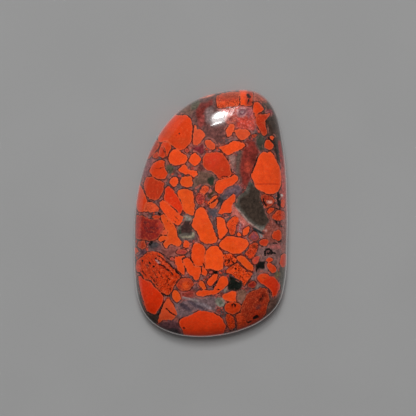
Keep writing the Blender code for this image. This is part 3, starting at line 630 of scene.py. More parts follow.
# Dark cracks, stains and pits: half their width, and the points that they run through
CRACKS = (
    Crack(0.27, ((6.35, 20.0), (6.5, 19.75))),
    Crack(0.11, ((6.45, 19.5), (6.4, 19.0), (6.25, 18.6))),
    Crack(0.05, ((4.95, 19.4), (4.9, 18.5))),
    Crack(0.12, ((7.05, 18.8), (7.15, 18.75))),
    Crack(0.10, ((-5.4, 13.45), (-5.3, 13.45))),
    Crack(0.04, ((-5.85, 13.2), (-5.8, 13.2))),
    Crack(0.03, ((-8.2, 11.1), (-7.95, 10.6), (-7.7, 10.0))),
    Crack(0.03, ((-9.6, 7.8), (-9.2, 7.6), (-8.6, 7.6), (-8.0, 7.8))),
    Crack(0.05, ((1.7, 6.0), (2.2, 6.25), (2.8, 6.2))),
    Crack(0.10, ((9.7, 12.8), (10.1, 12.4), (10.6, 11.9))),
    Crack(0.15, ((8.85, 2.35), (8.95, 1.9), (9.3, 1.3))),
    Crack(0.18, ((11.35, 3.4), (11.5, 2.9), (11.3, 2.3), (11.55, 2.0), (11.5, 1.5), (11.7, 1.2))),
    Crack(0.12, ((11.65, 0.85), (11.65, 0.65))),
    Crack(0.10, ((11.0, 0.9), (11.4, 0.7))),
    Crack(0.12, ((11.0, -1.3), (11.2, -1.6))),
    Crack(0.07, ((8.0, 9.9), (7.6, 8.6), (6.9, 6.8))),
    Crack(0.10, ((-10.45, 2.1), (-10.35, 2.0))),
    Crack(0.16, ((-8.8, 0.0), (-8.6, -0.15))),
    Crack(0.01, ((-6.9, -0.6), (-6.2, -1.2), (-5.6, -1.8))),
    Crack(0.02, ((-6.1, -0.5), (-5.8, -0.8), (-5.4, -1.2))),
    Crack(0.01, ((-7.4, -1.2), (-6.9, -1.6), (-6.4, -2.2))),
    Crack(0.03, ((-0.4, 1.5), (0.2, 1.9), (0.9, 2.5))),
    Crack(0.20, ((-10.3, -5.3), (-10.0, -4.9))),
    Crack(0.06, ((-8.2, -4.8), (-7.8, -4.6))),
    Crack(0.07, ((-9.05, -7.15), (-8.6, -7.3), (-8.1, -7.7), (-7.5, -8.2), (-6.9, -8.65))),
    Crack(0.10, ((-6.9, -8.65), (-6.5, -9.2), (-6.0, -9.6), (-5.6, -10.1), (-5.0, -10.3))),
    Crack(0.07, ((-9.45, -7.5), (-9.0, -7.85), (-8.6, -8.1))),
    Crack(0.11, (
        (-8.7, -8.6), (-8.0, -8.9), (-7.5, -9.4), (-7.1, -9.6), (-6.6, -10.1), (-6.4, -10.4))),
    Crack(0.05, ((-8.4, -6.7), (-7.8, -7.1), (-7.1, -7.8))),
    Crack(0.07, ((-11.6, -9.85), (-11.2, -10.2), (-10.8, -10.8))),
    Crack(0.06, ((-8.75, -9.85), (-8.4, -10.4), (-8.0, -11.1))),
    Crack(0.05, ((-9.9, -9.6), (-9.4, -10.2), (-9.0, -10.9))),
    Crack(0.05, ((-7.9, -10.0), (-7.5, -10.6), (-7.2, -11.4))),
    Crack(0.04, ((-7.4, -11.6), (-7.0, -12.3), (-6.8, -12.9))),
    Crack(0.07, ((-10.1, -10.7), (-9.6, -11.4), (-9.0, -12.2))),
    Crack(0.16, ((-10.35, -8.35), (-10.25, -8.45))),
    Crack(0.15, ((-9.7, -9.0), (-9.6, -9.0))),
    Crack(0.06, ((-7.2, -10.6), (-6.9, -11.2))),
    Crack(0.10, ((-11.6, -8.0), (-11.5, -8.15))),
    Crack(0.12, ((-12.1, -10.1), (-11.8, -10.4))),
    Crack(0.09, ((-7.5, -16.1), (-6.9, -16.7), (-6.0, -17.3))),
    Crack(0.10, ((-8.3, -13.5), (-7.6, -13.9), (-6.9, -13.9))),
    Crack(0.09, ((-8.0, -15.3), (-8.4, -16.2), (-8.9, -17.2))),
    Crack(0.08, ((-3.4, -7.7), (-2.9, -8.4))),
    Crack(0.07, ((-1.25, -8.4), (-1.05, -9.2))),
    Crack(0.07, ((-1.6, -9.3), (-1.55, -9.9))),
    Crack(0.24, ((0.7, -9.95), (0.95, -9.95))),
    Crack(0.07, ((2.5, -8.2), (2.6, -7.85), (3.0, -7.8), (3.2, -8.0), (3.1, -8.3), (2.7, -8.4))),
    Crack(0.06, ((2.9, -7.9), (2.9, -8.3))),
    Crack(0.08, ((3.6, -8.2), (4.0, -8.4), (4.3, -8.3))),
    Crack(0.12, ((4.15, -9.3), (4.25, -9.35))),
    Crack(0.10, ((6.35, -10.2), (6.45, -10.25))),
    Crack(0.07, ((1.0, -11.5), (0.7, -11.95), (0.4, -12.5))),
    Crack(0.06, ((0.8, -12.8), (1.5, -12.9))),
    Crack(0.13, ((9.2, -7.1), (9.1, -6.5), (9.4, -6.1), (9.9, -6.0), (10.2, -6.3), (10.4, -6.7))),
    Crack(0.09, ((9.5, -6.6), (9.7, -6.9), (10.0, -6.6), (10.2, -6.95), (10.5, -6.75))),
    Crack(0.08, ((10.4, -6.7), (10.9, -6.7))),
    Crack(0.14, ((10.9, -6.75), (10.95, -6.75))),
    Crack(0.07, ((10.5, -5.05), (11.3, -5.05), (11.8, -4.8), (12.0, -4.5))),
    Crack(0.10, ((12.0, -2.15), (12.0, -2.25))),
    Crack(0.02, ((8.7, -10.9), (9.4, -11.0))),
    Crack(0.10, ((3.6, -15.4), (3.9, -15.3), (4.2, -15.5), (4.1, -15.8))),
    Crack(0.10, ((3.65, -15.5), (3.6, -15.9))),
    Crack(0.26, ((7.4, -17.7), (7.85, -17.45))),
    Crack(0.06, ((6.0, -18.2), (6.4, -18.5), (7.0, -18.2))),
    Crack(0.05, ((8.3, -14.6), (8.7, -14.2), (8.8, -13.6))),
    Crack(0.10, ((-4.6, -19.4), (-4.4, -19.5))),
    Crack(0.06, ((9.7, -12.7), (10.0, -13.6), (10.1, -14.3))),
)

# How the outlines are read: points to a stretch, how far the curve swings at a point, the
# greatest depth that is worked out in millimetres, and a number too small to matter
ROUNDING_STEPS = 4
ROUNDNESS = 0.40
FAR = 2.0
TINY = 1e-12

# How much darker or lighter than its shade a fragment may be
SHADE_RANGE = (0.96, 1.06)

# Where the pools so far are weaker than this, a new one starts from its own colour
FAINT = 0.01

# Gaps between two fragments in millimetres: wide ones are over the first, tight ones under the second
WIDE_GAP = 0.9
TIGHT_GAP = 0.3

# Between these heights in millimetres, the dome's fragments give way to the side's and the back's
DOME_ABOVE = 1.7
BACK_BELOW = 0.35

# Between these heights the lapped back and its bevel give way to the polish
LAPPED_BELOW = 0.02
POLISHED_ABOVE = 0.3

# The girdle ends at this height, and its look ends softly there. The points within the tolerance
# of that height are its top ring. All in millimetres
GIRDLE_TOP = 1.3
GIRDLE_BLUR = 0.1
RING_TOLERANCE = 0.01

# A fine frosted line runs round the stone from its foot up to the girdle's top, where it is drawn
# in by its depth. Its pale colour is partly a painted highlight along the rim. It starts softly,
# this far below its foot and above it. All in millimetres
EDGE_LINE_FOOT = 1.10
EDGE_LINE_DEPTH = 0.02
EDGE_LINE_BLURS = (0.04, 0.02)

# The frost and its painted rim highlight are weak at the stone's two ends and strong at its sides,
# between these distances from the long axis, and most of them is lost towards the top end, between
# these places along that axis
FROST_AND_HIGHLIGHT_AT_ENDS = 0.05
FROST_AND_HIGHLIGHT_AT_SIDES = 0.50
FROST_AND_HIGHLIGHT_ENDS_TO_SIDES = (3.0, 10.0)
FROST_AND_HIGHLIGHT_LOST = 0.8
FROST_AND_HIGHLIGHT_LOST_BETWEEN = (-10.0, 8.0)

# The CAD mesh's doubled points are merged within this distance in metres, and the mesh is then
# divided this many times
MERGE_DISTANCE = 1e-6
SUBDIVISIONS = 3


def linear(shade):
    """A linear colour from an sRGB one given as three values from 0 to 255."""
    values = [channel / 255 for channel in shade]
    return [v / 12.92 if v <= 0.04045 else ((v + 0.055) / 1.055) ** 2.4 for v in values]


def rounded(outline):
    """A closed outline with more points, on a smooth curve through the ones given."""
    here = np.array(outline, float)
    after = np.roll(here, -1, 0)
    leaving = (after - np.roll(here, 1, 0)) * ROUNDNESS
    arriving = np.roll(leaving, -1, 0)
    steps = []
    for step in range(ROUNDING_STEPS):
        t = step / ROUNDING_STEPS
        steps.append(
            here * (1 - 3 * t ** 2 + 2 * t ** 3) + after * (3 * t ** 2 - 2 * t ** 3)
            + leaving * (t - 2 * t ** 2 + t ** 3) + arriving * (t ** 3 - t ** 2))
    return np.stack(steps, 1).reshape(-1, 2)


def distance_to_line(points, starts, ends):
    """Each point's distance to the nearest of some straight stretches."""
    run = ends - starts
    length = np.maximum((run ** 2).sum(1), TINY)
    offset = points[:, None] - starts[None]
    share = ((offset * run).sum(2) / length).clip(0, 1)
    return np.sqrt(((offset - share[..., None] * run) ** 2).sum(2).min(1))


def inside(points, outline):
    """Whether each point is inside a closed outline."""
    start, end = outline, np.roll(outline, -1, 0)
    x, y = points[:, :1], points[:, 1:]
    spans = (start[:, 1] > y) != (end[:, 1] > y)
    rise = np.where(start[:, 1] == end[:, 1], TINY, end[:, 1] - start[:, 1])
    crossing = start[:, 0] + (y - start[:, 1]) / rise * (end[:, 0] - start[:, 0])
    return (spans & (x < crossing)).sum(1) % 2 == 1


def depth_in(points, outline):
    """How far inside an outline each point is, and less than 0 outside it."""
    away = distance_to_line(points, outline, np.roll(outline, -1, 0))
    return np.where(inside(points, outline), away, -away)


def near(points, outline, margin):
    """The points within a margin of an outline's box."""
    low, high = outline.min(0) - margin, outline.max(0) + margin
    return np.where(((points > low) & (points < high)).all(1))[0]


def lay_out(points, fragments):
    """For each point: the depth in its fragment, the depth in the next one, and its fragment."""
    edge = np.full(len(points), -FAR)
    second = np.full(len(points), -FAR)
    owner = np.zeros(len(points), int)
    for number, fragment in enumerate(fragments):
        outline = rounded(fragment.outline)
        chosen = near(points, outline, FAR)
        if not len(chosen):
            continue
        depth = depth_in(points[chosen], outline)
        cut = np.minimum(edge[chosen], -depth - fragment.gap)
        wins = depth > cut
        second[chosen] = np.maximum(second[chosen], np.where(wins, cut, depth))
        edge[chosen] = np.where(wins, depth, cut)
        owner[chosen] = np.where(wins, number, owner[chosen])
    return edge, second, owner


def smooth_step(value, low, high):
    """0 up to low, 1 from high on, and a soft step between them."""
    share = ((value - low) / (high - low)).clip(0, 1)
    return share * share * (3 - 2 * share)


def soft_patch(points, one):
    """The points that a soft-edged patch reaches, and how strongly."""
    outline = rounded(one.outline)
    chosen = near(points, outline, one.softness)
    return chosen, smooth_step(depth_in(points[chosen], outline), -one.softness / 2, one.softness / 2)


def shades_of(fragments, owner):
    """The linear colour of each point's fragment, each fragment a little unlike its neighbours."""
    chance = np.random.default_rng(len(fragments))
    table = np.array([linear(SHADES[fragment.shade]) for fragment in fragments])
    table *= chance.uniform(*SHADE_RANGE, (len(fragments), 1))
    return table[owner]


def pooled(points, dome):
    """The pools' colour at each point, how strongly they cover it, and how grainy they are."""
    ground = np.zeros((len(points), 3))
    pool = np.zeros(len(points))
    grain = np.zeros(len(points))
    for one in POOLS:
        chosen, weight = soft_patch(points, one)
        weight = weight * dome[chosen]
        first = pool[chosen] < FAINT
        ground[chosen] = np.where(first[:, None], linear(one.shade), ground[chosen])
        ground[chosen] += (np.array(linear(one.shade)) - ground[chosen]) * weight[:, None]
        pool[chosen] = np.maximum(pool[chosen], weight)
        grain[chosen] = np.maximum(grain[chosen], weight * one.grain)
    return ground, pool, grain


def cracked(points, dome):
    """Each point's distance to the edge of the nearest crack, less than 0 in it."""
    crack = np.full(len(points), FAR)
    for one in CRACKS:
        route = np.array(one.route, float)
        chosen = near(points, route, FAR)
        away = distance_to_line(points[chosen], route[:-1], route[1:]) - one.half_width
        crack[chosen] = np.minimum(crack[chosen], away)
    return np.where(dome > 0.5, crack, FAR)


def rim_frost_and_highlight_at(points, height):
    """How strong the frost and the painted rim highlight on the line at the girdle's top are at each
    point, and 0 off the line.
    """
    below, above = EDGE_LINE_BLURS
    line = smooth_step(height, EDGE_LINE_FOOT - below, EDGE_LINE_FOOT + above)
    line *= 1 - smooth_step(height, GIRDLE_TOP, GIRDLE_TOP + GIRDLE_BLUR)
    to_sides = smooth_step(np.abs(points[:, 0]), *FROST_AND_HIGHLIGHT_ENDS_TO_SIDES)
    line *= FROST_AND_HIGHLIGHT_AT_ENDS + (FROST_AND_HIGHLIGHT_AT_SIDES - FROST_AND_HIGHLIGHT_AT_ENDS) * to_sides
    return line * (1 - FROST_AND_HIGHLIGHT_LOST * smooth_step(points[:, 1], *FROST_AND_HIGHLIGHT_LOST_BETWEEN))


def write_attribute(mesh, name, values):
    """Stores one number or one colour for each vertex."""
    if values.ndim == 1:
        field = mesh.attributes.new(name, "FLOAT", "POINT").data
        field.foreach_set("value", values.astype(np.float32))
        return
    colours = np.ones((len(values), 4), np.float32)
    colours[:, :3] = values
    mesh.attributes.new(name, "FLOAT_COLOR", "POINT").data.foreach_set("color", colours.ravel())


def draw_pattern(mesh):
    """Works out the stone's pattern at every vertex and stores it in the mesh's attributes."""
    places = np.empty(len(mesh.vertices) * 3, np.float32)
    mesh.vertices.foreach_get("co", places)
    places = places.reshape(-1, 3).astype(float) / MM
    points, height = places[:, :2], places[:, 2]
    dome = smooth_step(height, BACK_BELOW, DOME_ABOVE)

    edge, second, owner = lay_out(points, FRAGMENTS)
    shade = shades_of(FRAGMENTS, owner)
    for one in STAINS:
        chosen, weight = soft_patch(points, one)
        weight = weight * dome[chosen]
        shade[chosen] += (np.array(linear(one.shade)) - shade[chosen]) * weight[:, None]
    ground, pool, grain = pooled(points, dome)

    pattern = {
        "dome": dome,
        "edge": edge,
        "tight": smooth_step(edge + second, -WIDE_GAP, -TIGHT_GAP) * dome,
        "shade": shade,
        "net": np.array([fragment.net for fragment in FRAGMENTS])[owner] * dome,
        "ground": ground,
        "pool": pool,
        "grain": grain,
        "crack": cracked(points, dome),
        "lapped": 1 - smooth_step(height, LAPPED_BELOW, POLISHED_ABOVE),
        "girdle": 1 - smooth_step(height, GIRDLE_TOP - GIRDLE_BLUR, GIRDLE_TOP + GIRDLE_BLUR),
        "frost_and_rim_highlight": rim_frost_and_highlight_at(points, height),
    }
    for name, values in pattern.items():
        write_attribute(mesh, name, values)


def select_only(piece):
    """Leaves one piece selected and active."""
    for item in bpy.context.view_layer.objects:
        item.select_set(False)
    piece.select_set(True)
    bpy.context.view_layer.objects.active = piece


def shape_edge_line(mesh):
    """Draws the girdle's top ring in a little, so that the frosted line with its painted rim highlight
    is a narrow bevel.
    """
    for vertex in mesh.vertices:
        if abs(vertex.co.z / MM - GIRDLE_TOP) < RING_TOLERANCE:
            vertex.co.xy *= 1 - EDGE_LINE_DEPTH * MM / CAD_BOX[1].x


def stone_piece():
    """The stone's visible surface: a merged copy of the CAD solid as quads, finely divided."""
    mesh = frame["nodes"]["cabochon"].data.copy()
    mesh.name = "polished_cabochon"
    mesh.materials.clear()
    piece = bpy.data.objects.new("polished_cabochon", mesh)
    bpy.context.scene.collection.objects.link(piece)
    select_only(piece)
    bpy.ops.mesh.customdata_custom_splitnormals_clear()
    bpy.ops.object.mode_set(mode="EDIT")
    bpy.ops.mesh.select_all(action="SELECT")
    bpy.ops.mesh.remove_doubles(threshold=MERGE_DISTANCE)
    bpy.ops.mesh.tris_convert_to_quads(face_threshold=math.pi, shape_threshold=math.pi)
    bpy.ops.mesh.normals_make_consistent(inside=False)
    bpy.ops.mesh.select_all(action="SELECT")
    bpy.ops.mesh.bisect(plane_co=(0.0, 0.0, EDGE_LINE_FOOT * MM), plane_no=(0.0, 0.0, 1.0))
    bpy.ops.object.mode_set(mode="OBJECT")
    shape_edge_line(mesh)
    fine = piece.modifiers.new("fine", "SUBSURF")
    fine.levels = fine.render_levels = SUBDIVISIONS
    bpy.ops.object.modifier_apply(modifier="fine")
    bpy.ops.object.shade_smooth()
    draw_pattern(piece.data)
    return piece


# Colours that noise adds to the jasper
PALE_JASPER = (238, 104, 58)
RED_JASPER = (222, 56, 20)
JASPER_RIM = (236, 118, 76)
SPECK = (96, 30, 14)
FLECK = (240, 118, 74)
DARK_CLOUD = (122, 36, 24)
VEIN = (92, 12, 8)
CRACK_IN_JASPER = (40, 12, 7)

# Colours of the chalcedony, and of the crumbs and lines in it
SMOKE = ((117, 77, 76), (95, 74, 73), (128, 68, 58))
CRUMBS = ((98, 52, 51), (168, 62, 50), (192, 98, 82), (204, 66, 36))
CRUMB_SEAM = (52, 26, 26)
# Near-white specks: partly grain, partly painted sparkle beside the highlight
WHITE_GRAIN_AND_SPARKLE = (252, 206, 200)
RED_GRAIN = (150, 44, 40)
HALO = (186, 112, 100)
WIDE_GAP_LINE = (46, 22, 20)
TIGHT_GAP_LINE = (76, 24, 15)
CRACK_IN_CHALCEDONY = (17, 11, 9)

# Colours of stone that isn't polished. The frosted one is partly a painted highlight along the rim
LAPPED_STONE = (176, 150, 140)
FROSTED_STONE_AND_RIM_HIGHLIGHT = (226, 218, 208)

# Clouds that darken and lighten: noise to the millimetre, how fine its detail goes, where it
# starts, the stretch of its values that is used, and the factors at the two ends of the stretch
Cloud = namedtuple("Cloud", "to_mm detail start low high darkest lightest")
JASPER_CLOUDS = (
    Cloud(0.7, 4.0, 3.1, 0.3, 0.7, 0.93, 1.10),
    Cloud(2.3, 2.0, 7.3, 0.3, 0.7, 0.95, 1.05),
    Cloud(9.0, 2.0, 5.7, 0.3, 0.7, 0.89, 1.10),
)
CHALCEDONY_CLOUDS = (
    Cloud(1.6, 4.0, 16.0, 0.25, 0.75, 0.68, 1.36),
    Cloud(3.4, 2.0, 19.0, 0.3, 0.7, 0.80, 1.22),
    Cloud(7.0, 2.0, 18.0, 0.3, 0.7, 0.86, 1.14),
)

# How far noise moves the edges of the fragments and the cracks in and out, in millimetres
COARSE_WOBBLE = 0.08
FINE_WOBBLE = 0.04
CRACK_WOBBLE = 0.07

# How far the fragments spread past their outlines in wide gaps and in tight ones, and how soft
# their edges and the cracks' edges are, in millimetres
SPREAD_WIDE = 0.06
SPREAD_TIGHT = -0.01
EDGE_BLUR = 0.035
CRACK_BLURS = (-0.03, 0.07)

# How many crumbs of rock the chalcedony has to the millimetre
CRUMBS_TO_MM = 1.8

# The side's and the back's fragments of two sizes: how many to the millimetre, and the share kept
BIG_BELOW = (0.32, 0.52)
SMALL_BELOW = (0.80, 0.40)
HALF_GAP_BELOW = 0.20

# The first share of them is orange, and from each of these shares on they have the shade named.
# The blurs say how sharply one shade, or one size, gives way to the next, and a fragment to none
SHADES_BELOW = ((0.30, "rust"), (0.60, "brick"), (0.85, "wine"))
SHADE_BLUR = 0.01
KEPT_BLUR = 0.001

# Roughness of the polish, between which it varies, and of what is duller
POLISH = (0.045, 0.075)
CRACK_ROUGHNESS = 0.35
LAPPED_ROUGHNESS = 0.42
GIRDLE_ROUGHNESS = 0.2
PITTED_ROUGHNESS = 0.26
FROST_ROUGHNESS = 0.7
STONE_IOR = 1.6

# The relief that polishing leaves: its height in millimetres, how strongly it shows, and the
# share of that height that each thing has
RELIEF = 0.006
RELIEF_STRENGTH = 0.5
JASPER_STANDS = 0.35
CRACK_SINKS = -0.9
RIPPLES = 0.18
LAPPING_MARKS = 1.2


def node(tree, kind, settings=None, **inputs):
    """Adds a shader node. An input, named or numbered as i0, i1, is a value or an output socket."""
    made = tree.nodes.new(kind)
    for name, value in (settings or {}).items():
        setattr(made, name, value)
    for name, value in inputs.items():
        numbered = name[0] == "i" and name[1:].isdigit()
        socket = made.inputs[int(name[1:]) if numbered else name.replace("_", " ")]
        if isinstance(value, bpy.types.NodeSocket):
            tree.links.new(value, socket)
        else:
            socket.default_value = value
    return made


class Wiring:
    """Short names for the nodes that do sums, in a material or in the world."""

    def __init__(self, tree):
        self.tree = tree

    def maths(self, operation, first, second=0.0):
        made = node(self.tree, "ShaderNodeMath", {"operation": operation}, i0=first, i1=second)
        return made.outputs[0]

    def sum(self, first, second):
        return self.maths("ADD", first, second)

    def less(self, first, second):
        return self.maths("SUBTRACT", first, second)

    def product(self, first, second):
        return self.maths("MULTIPLY", first, second)

    def larger(self, first, second):
        return self.maths("MAXIMUM", first, second)

    def between(self, amount, first, second):
        """A number between two others, the first where amount is 0 and the second where it is 1."""
        return node(
            self.tree, "ShaderNodeMix", {"data_type": "FLOAT"},
            i0=amount, i2=first, i3=second).outputs[0]

    def ramp(self, value, low, high, to_low=0.0, to_high=1.0):
        """A soft step from to_low to to_high as value goes from low to high."""
        return node(
            self.tree, "ShaderNodeMapRange", {"interpolation_type": "SMOOTHSTEP"},
            Value=value, From_Min=low, From_Max=high, To_Min=to_low, To_Max=to_high).outputs["Result"]


class Recipe(Wiring):
    """Short names for all the nodes that a material is made of."""

    def __init__(self, name):
        self.material = bpy.data.materials.new(name)
        self.material.use_nodes = True
        super().__init__(self.material.node_tree)
        self.shader = self.tree.nodes["Principled BSDF"]
        coordinates = self.tree.nodes.new("ShaderNodeTexCoord").outputs["Object"]
        self.place = self.scaled(coordinates, 1 / MM)

    def set(self, name, value):
        """Gives an input of the shader a value, or links a socket to it."""
        if isinstance(value, bpy.types.NodeSocket):
            self.tree.links.new(value, self.shader.inputs[name])
        else:
            self.shader.inputs[name].default_value = value

    def attribute(self, name, output="Fac"):
        return node(self.tree, "ShaderNodeAttribute", {"attribute_name": name}).outputs[output]

    def vectors(self, operation, first, second):
        made = node(self.tree, "ShaderNodeVectorMath", {"operation": operation}, i0=first, i1=second)
        return made.outputs["Vector"]

    def scaled(self, vector, factor):
        """A vector, or a colour, times a factor."""
        return node(
            self.tree, "ShaderNodeVectorMath", {"operation": "SCALE"},
            Vector=vector, Scale=factor).outputs["Vector"]

    def noise(self, to_mm, detail=2.0, start=0.0, output="Fac"):
        """Cloudy noise with so many repeats to the millimetre."""
        moved = self.vectors("ADD", self.place, (start, start * 0.7, start * 1.3))
        return node(
            self.tree, "ShaderNodeTexNoise", Vector=moved, Scale=to_mm,
            Detail=detail).outputs[output]

    def patches(self, to_mm, detail, start, low, high, least=0.0, most=1.0):
        """Chance patches: least where the noise is under low, and most where it is over high."""
        return self.ramp(self.noise(to_mm, detail, start), low, high, least, most)

    def wobble(self, to_mm, detail, start, reach):
        """Chance values from -reach to reach."""
        return self.patches(to_mm, detail, start, 0.25, 0.75, -reach, reach)

    def warped(self, to_mm, reach):
        """The place on the stone, moved about by noise."""
        wander = self.vectors("SUBTRACT", self.noise(to_mm, output="Color"), (0.5, 0.5, 0.5))
        return self.vectors("ADD", self.place, self.scaled(wander, reach))

    def cells(self, to_mm, feature="F1", vector=None, output="Distance"):
        """Cells of chance shapes, with so many to the millimetre."""
        return node(
            self.tree, "ShaderNodeTexVoronoi", {"feature": feature},
            Vector=vector or self.place, Scale=to_mm).outputs[output]

    def band(self, value, low, high, blur):
        """1 between low and high, 0 outside them."""
        return self.product(
            self.ramp(value, low - blur, low + blur),
            self.ramp(value, high - blur, high + blur, 1.0, 0.0))

    def blend(self, amount, first, second):
        """A colour between two others, each a socket or an sRGB shade."""
        mixer = node(self.tree, "ShaderNodeMix", {"data_type": "RGBA"}, i0=amount)
        for index, value in ((6, first), (7, second)):
            if isinstance(value, bpy.types.NodeSocket):
                self.tree.links.new(value, mixer.inputs[index])
            else:
                mixer.inputs[index].default_value = (*linear(value), 1.0)
        return mixer.outputs[2]

    def laid_over(self, colour, shade, *masks):
        """A colour with a shade laid over it, as strongly as the product of the masks."""
        amount = masks[0]
        for mask in masks[1:]:
            amount = self.product(amount, mask)
        return self.blend(amount, colour, shade)

    def clouded(self, colour, clouds):
        """A colour darkened and lightened by several sizes of clouds."""
        for cloud in clouds:
            colour = self.scaled(colour, self.patches(*cloud))
        return colour


def strewn(r, to_mm, kept):
    """Chance fragments: the depth in the nearest one in millimetres, and its colour.

    to_mm is how many lie to the millimetre, and kept is the share of them that is there.
    """
    place = r.warped(1.1, 0.9)
    kind = node(r.tree, "ShaderNodeSeparateColor", i0=r.cells(to_mm, "F1", place, "Color")).outputs
    depth = r.product(r.cells(to_mm, "DISTANCE_TO_EDGE", place), 1 / to_mm)
    missing = r.ramp(kind[0], kept, kept + KEPT_BLUR, 0.0, -FAR)
    shade = SHADES["orange"]
    for share, name in SHADES_BELOW:
        shade = r.blend(r.ramp(kind[1], share, share + SHADE_BLUR), shade, SHADES[name])
    return r.sum(r.sum(depth, -HALF_GAP_BELOW), missing), shade


def jasper_colour(r, shade, edge, crack_mask):
    """Jasper: cloudy, a little paler at its edge, with fine specks and, in some, a net of veins."""
    colour = r.clouded(shade, JASPER_CLOUDS)
    colour = r.laid_over(colour, PALE_JASPER, r.patches(2.6, 3.0, 11.0, 0.54, 0.70, 0.0, 0.30))
    colour = r.laid_over(colour, RED_JASPER, r.patches(1.2, 3.0, 14.0, 0.50, 0.68, 0.0, 0.28))
    colour = r.laid_over(colour, JASPER_RIM, r.ramp(edge, 0.02, 0.24, 0.30, 0.0))
    dots = r.ramp(r.cells(2.4), 0.05, 0.13, 0.75, 0.0)
    colour = r.laid_over(colour, SPECK, dots, r.patches(0.9, 1.0, 9.0, 0.56, 0.66))
    net = r.attribute("net")
    colour = r.laid_over(colour, FLECK, r.patches(3.2, 2.0, 8.0, 0.55, 0.70), net, 0.6)
    colour = r.laid_over(colour, DARK_CLOUD, r.patches(1.1, 3.0, 6.0, 0.50, 0.72), net, 0.4)
    veins = r.ramp(r.cells(2.6, "DISTANCE_TO_EDGE", r.warped(2.4, 0.7)), 0.02, 0.12, 1.0, 0.0)
    colour = r.laid_over(colour, VEIN, veins, r.patches(1.5, 2.0, 4.0, 0.36, 0.52), net, 0.9)
    return r.laid_over(colour, CRACK_IN_JASPER, crack_mask)


def with_crumbs(r, colour):
    """Chalcedony with crumbs of jasper of four shades, and dark seams round them."""
    place = r.warped(2.2, 0.35)
    depth = r.cells(CRUMBS_TO_MM, "DISTANCE_TO_EDGE", place)
    kind = node(
        r.tree, "ShaderNodeSeparateColor", i0=r.cells(CRUMBS_TO_MM, "F1", place, "Color")).outputs
    crowd = r.patches(0.45, 2.0, 12.0, 0.35, 0.65, -0.3, 0.3)
    is_crumb = r.ramp(r.sum(kind[0], crowd), 0.46, 0.52)
    shade = r.blend(r.ramp(kind[1], 0.2, 0.4), CRUMBS[0], CRUMBS[1])
    shade = r.blend(r.ramp(kind[1], 0.55, 0.75), shade, CRUMBS[2])
    shade = r.blend(r.ramp(kind[2], 0.84, 0.88), shade, CRUMBS[3])
    colour = r.laid_over(colour, shade, is_crumb, r.ramp(depth, 0.05, 0.12), 0.85)
    return r.laid_over(colour, CRUMB_SEAM, is_crumb, r.ramp(depth, 0.02, 0.09, 1.0, 0.0), 0.7)


def chalcedony_colour(r, edge, crack_mask):
    """Chalcedony: smoky and cloudy, with crumbs and pools, and lines and halos by the fragments."""
    colour = r.blend(r.patches(0.35, 2.0, 1.0, 0.42, 0.58), SMOKE[0], SMOKE[1])
    colour = r.laid_over(colour, SMOKE[2], r.patches(0.5, 2.0, 2.0, 0.46, 0.62))
    colour = with_crumbs(r, colour)
    colour = r.laid_over(colour, r.attribute("ground", "Color"), r.attribute("pool"))
    grain = r.attribute("grain")
    # White specks where the grain is: partly grain, partly painted sparkle round the highlight
    colour = r.laid_over(colour, WHITE_GRAIN_AND_SPARKLE, grain, r.patches(3.2, 3.0, 50.0, 0.50, 0.62), 0.9)
    colour = r.laid_over(colour, RED_GRAIN, grain, r.patches(1.7, 3.0, 54.0, 0.52, 0.66), 0.85)
    colour = r.clouded(colour, CHALCEDONY_CLOUDS)
    halo = r.band(edge, -0.40, -0.16, 0.08)
    colour = r.laid_over(colour, HALO, halo, r.patches(0.9, 2.0, 20.0, 0.46, 0.62), 0.5)
    tight = r.attribute("tight")
    line = r.band(edge, -0.16, 0.04, 0.05)
    strength = r.larger(tight, r.patches(0.8, 2.0, 22.0, 0.42, 0.58))
    line_shade = r.blend(tight, WIDE_GAP_LINE, TIGHT_GAP_LINE)
    colour = r.laid_over(colour, line_shade, line, strength, 0.85)
    return r.laid_over(colour, CRACK_IN_CHALCEDONY, crack_mask)


def fragments_of_stone(r):
    """The depth in the fragments and their shade: the drawn ones in the dome, chance ones below."""
    big_edge, big_shade = strewn(r, *BIG_BELOW)
    small_edge, small_shade = strewn(r, *SMALL_BELOW)
    is_big = r.ramp(r.less(big_edge, small_edge), -SHADE_BLUR, SHADE_BLUR)
    dome = r.attribute("dome")
    shade = r.blend(
        r.ramp(dome, 0.48, 0.52), r.blend(is_big, small_shade, big_shade),
        r.attribute("shade", "Color"))
    edge = r.between(dome, r.larger(big_edge, small_edge), r.attribute("edge"))
    spread = r.ramp(r.attribute("tight"), 0.0, 1.0, SPREAD_WIDE, SPREAD_TIGHT)
    wobble = r.sum(r.wobble(1.5, 3.0, 30.0, COARSE_WOBBLE), r.wobble(6.0, 1.0, 32.0, FINE_WOBBLE))
    return r.sum(r.sum(edge, spread), wobble), shade


def roughness(r, crack_mask):
    """A high polish, duller in cracks and pitted grains, and on the back, girdle and frosted line."""
    pitted = r.product(r.attribute("grain"), r.patches(2.4, 3.0, 58.0, 0.44, 0.60))
    rough = r.patches(4.0, 2.0, 40.0, 0.3, 0.7, *POLISH)
    for mask, value in (
            (crack_mask, CRACK_ROUGHNESS), (r.attribute("lapped"), LAPPED_ROUGHNESS),
            (r.attribute("girdle"), GIRDLE_ROUGHNESS), (pitted, PITTED_ROUGHNESS),
            (r.attribute("frost_and_rim_highlight"), FROST_ROUGHNESS)):
        rough = r.larger(rough, r.product(mask, value))
    return rough


def relief(r, edge, crack_mask):
    """How high the surface stands, as a share of the polish relief."""
    height = r.product(r.ramp(edge, -0.12, 0.06), JASPER_STANDS)
    height = r.sum(height, r.product(crack_mask, CRACK_SINKS))
    height = r.sum(height, r.product(r.noise(5.0, 3.0, 42.0), RIPPLES))
    marks = r.product(r.noise(22.0, 2.0, 44.0), r.attribute("lapped"))
    return r.sum(height, r.product(marks, LAPPING_MARKS))


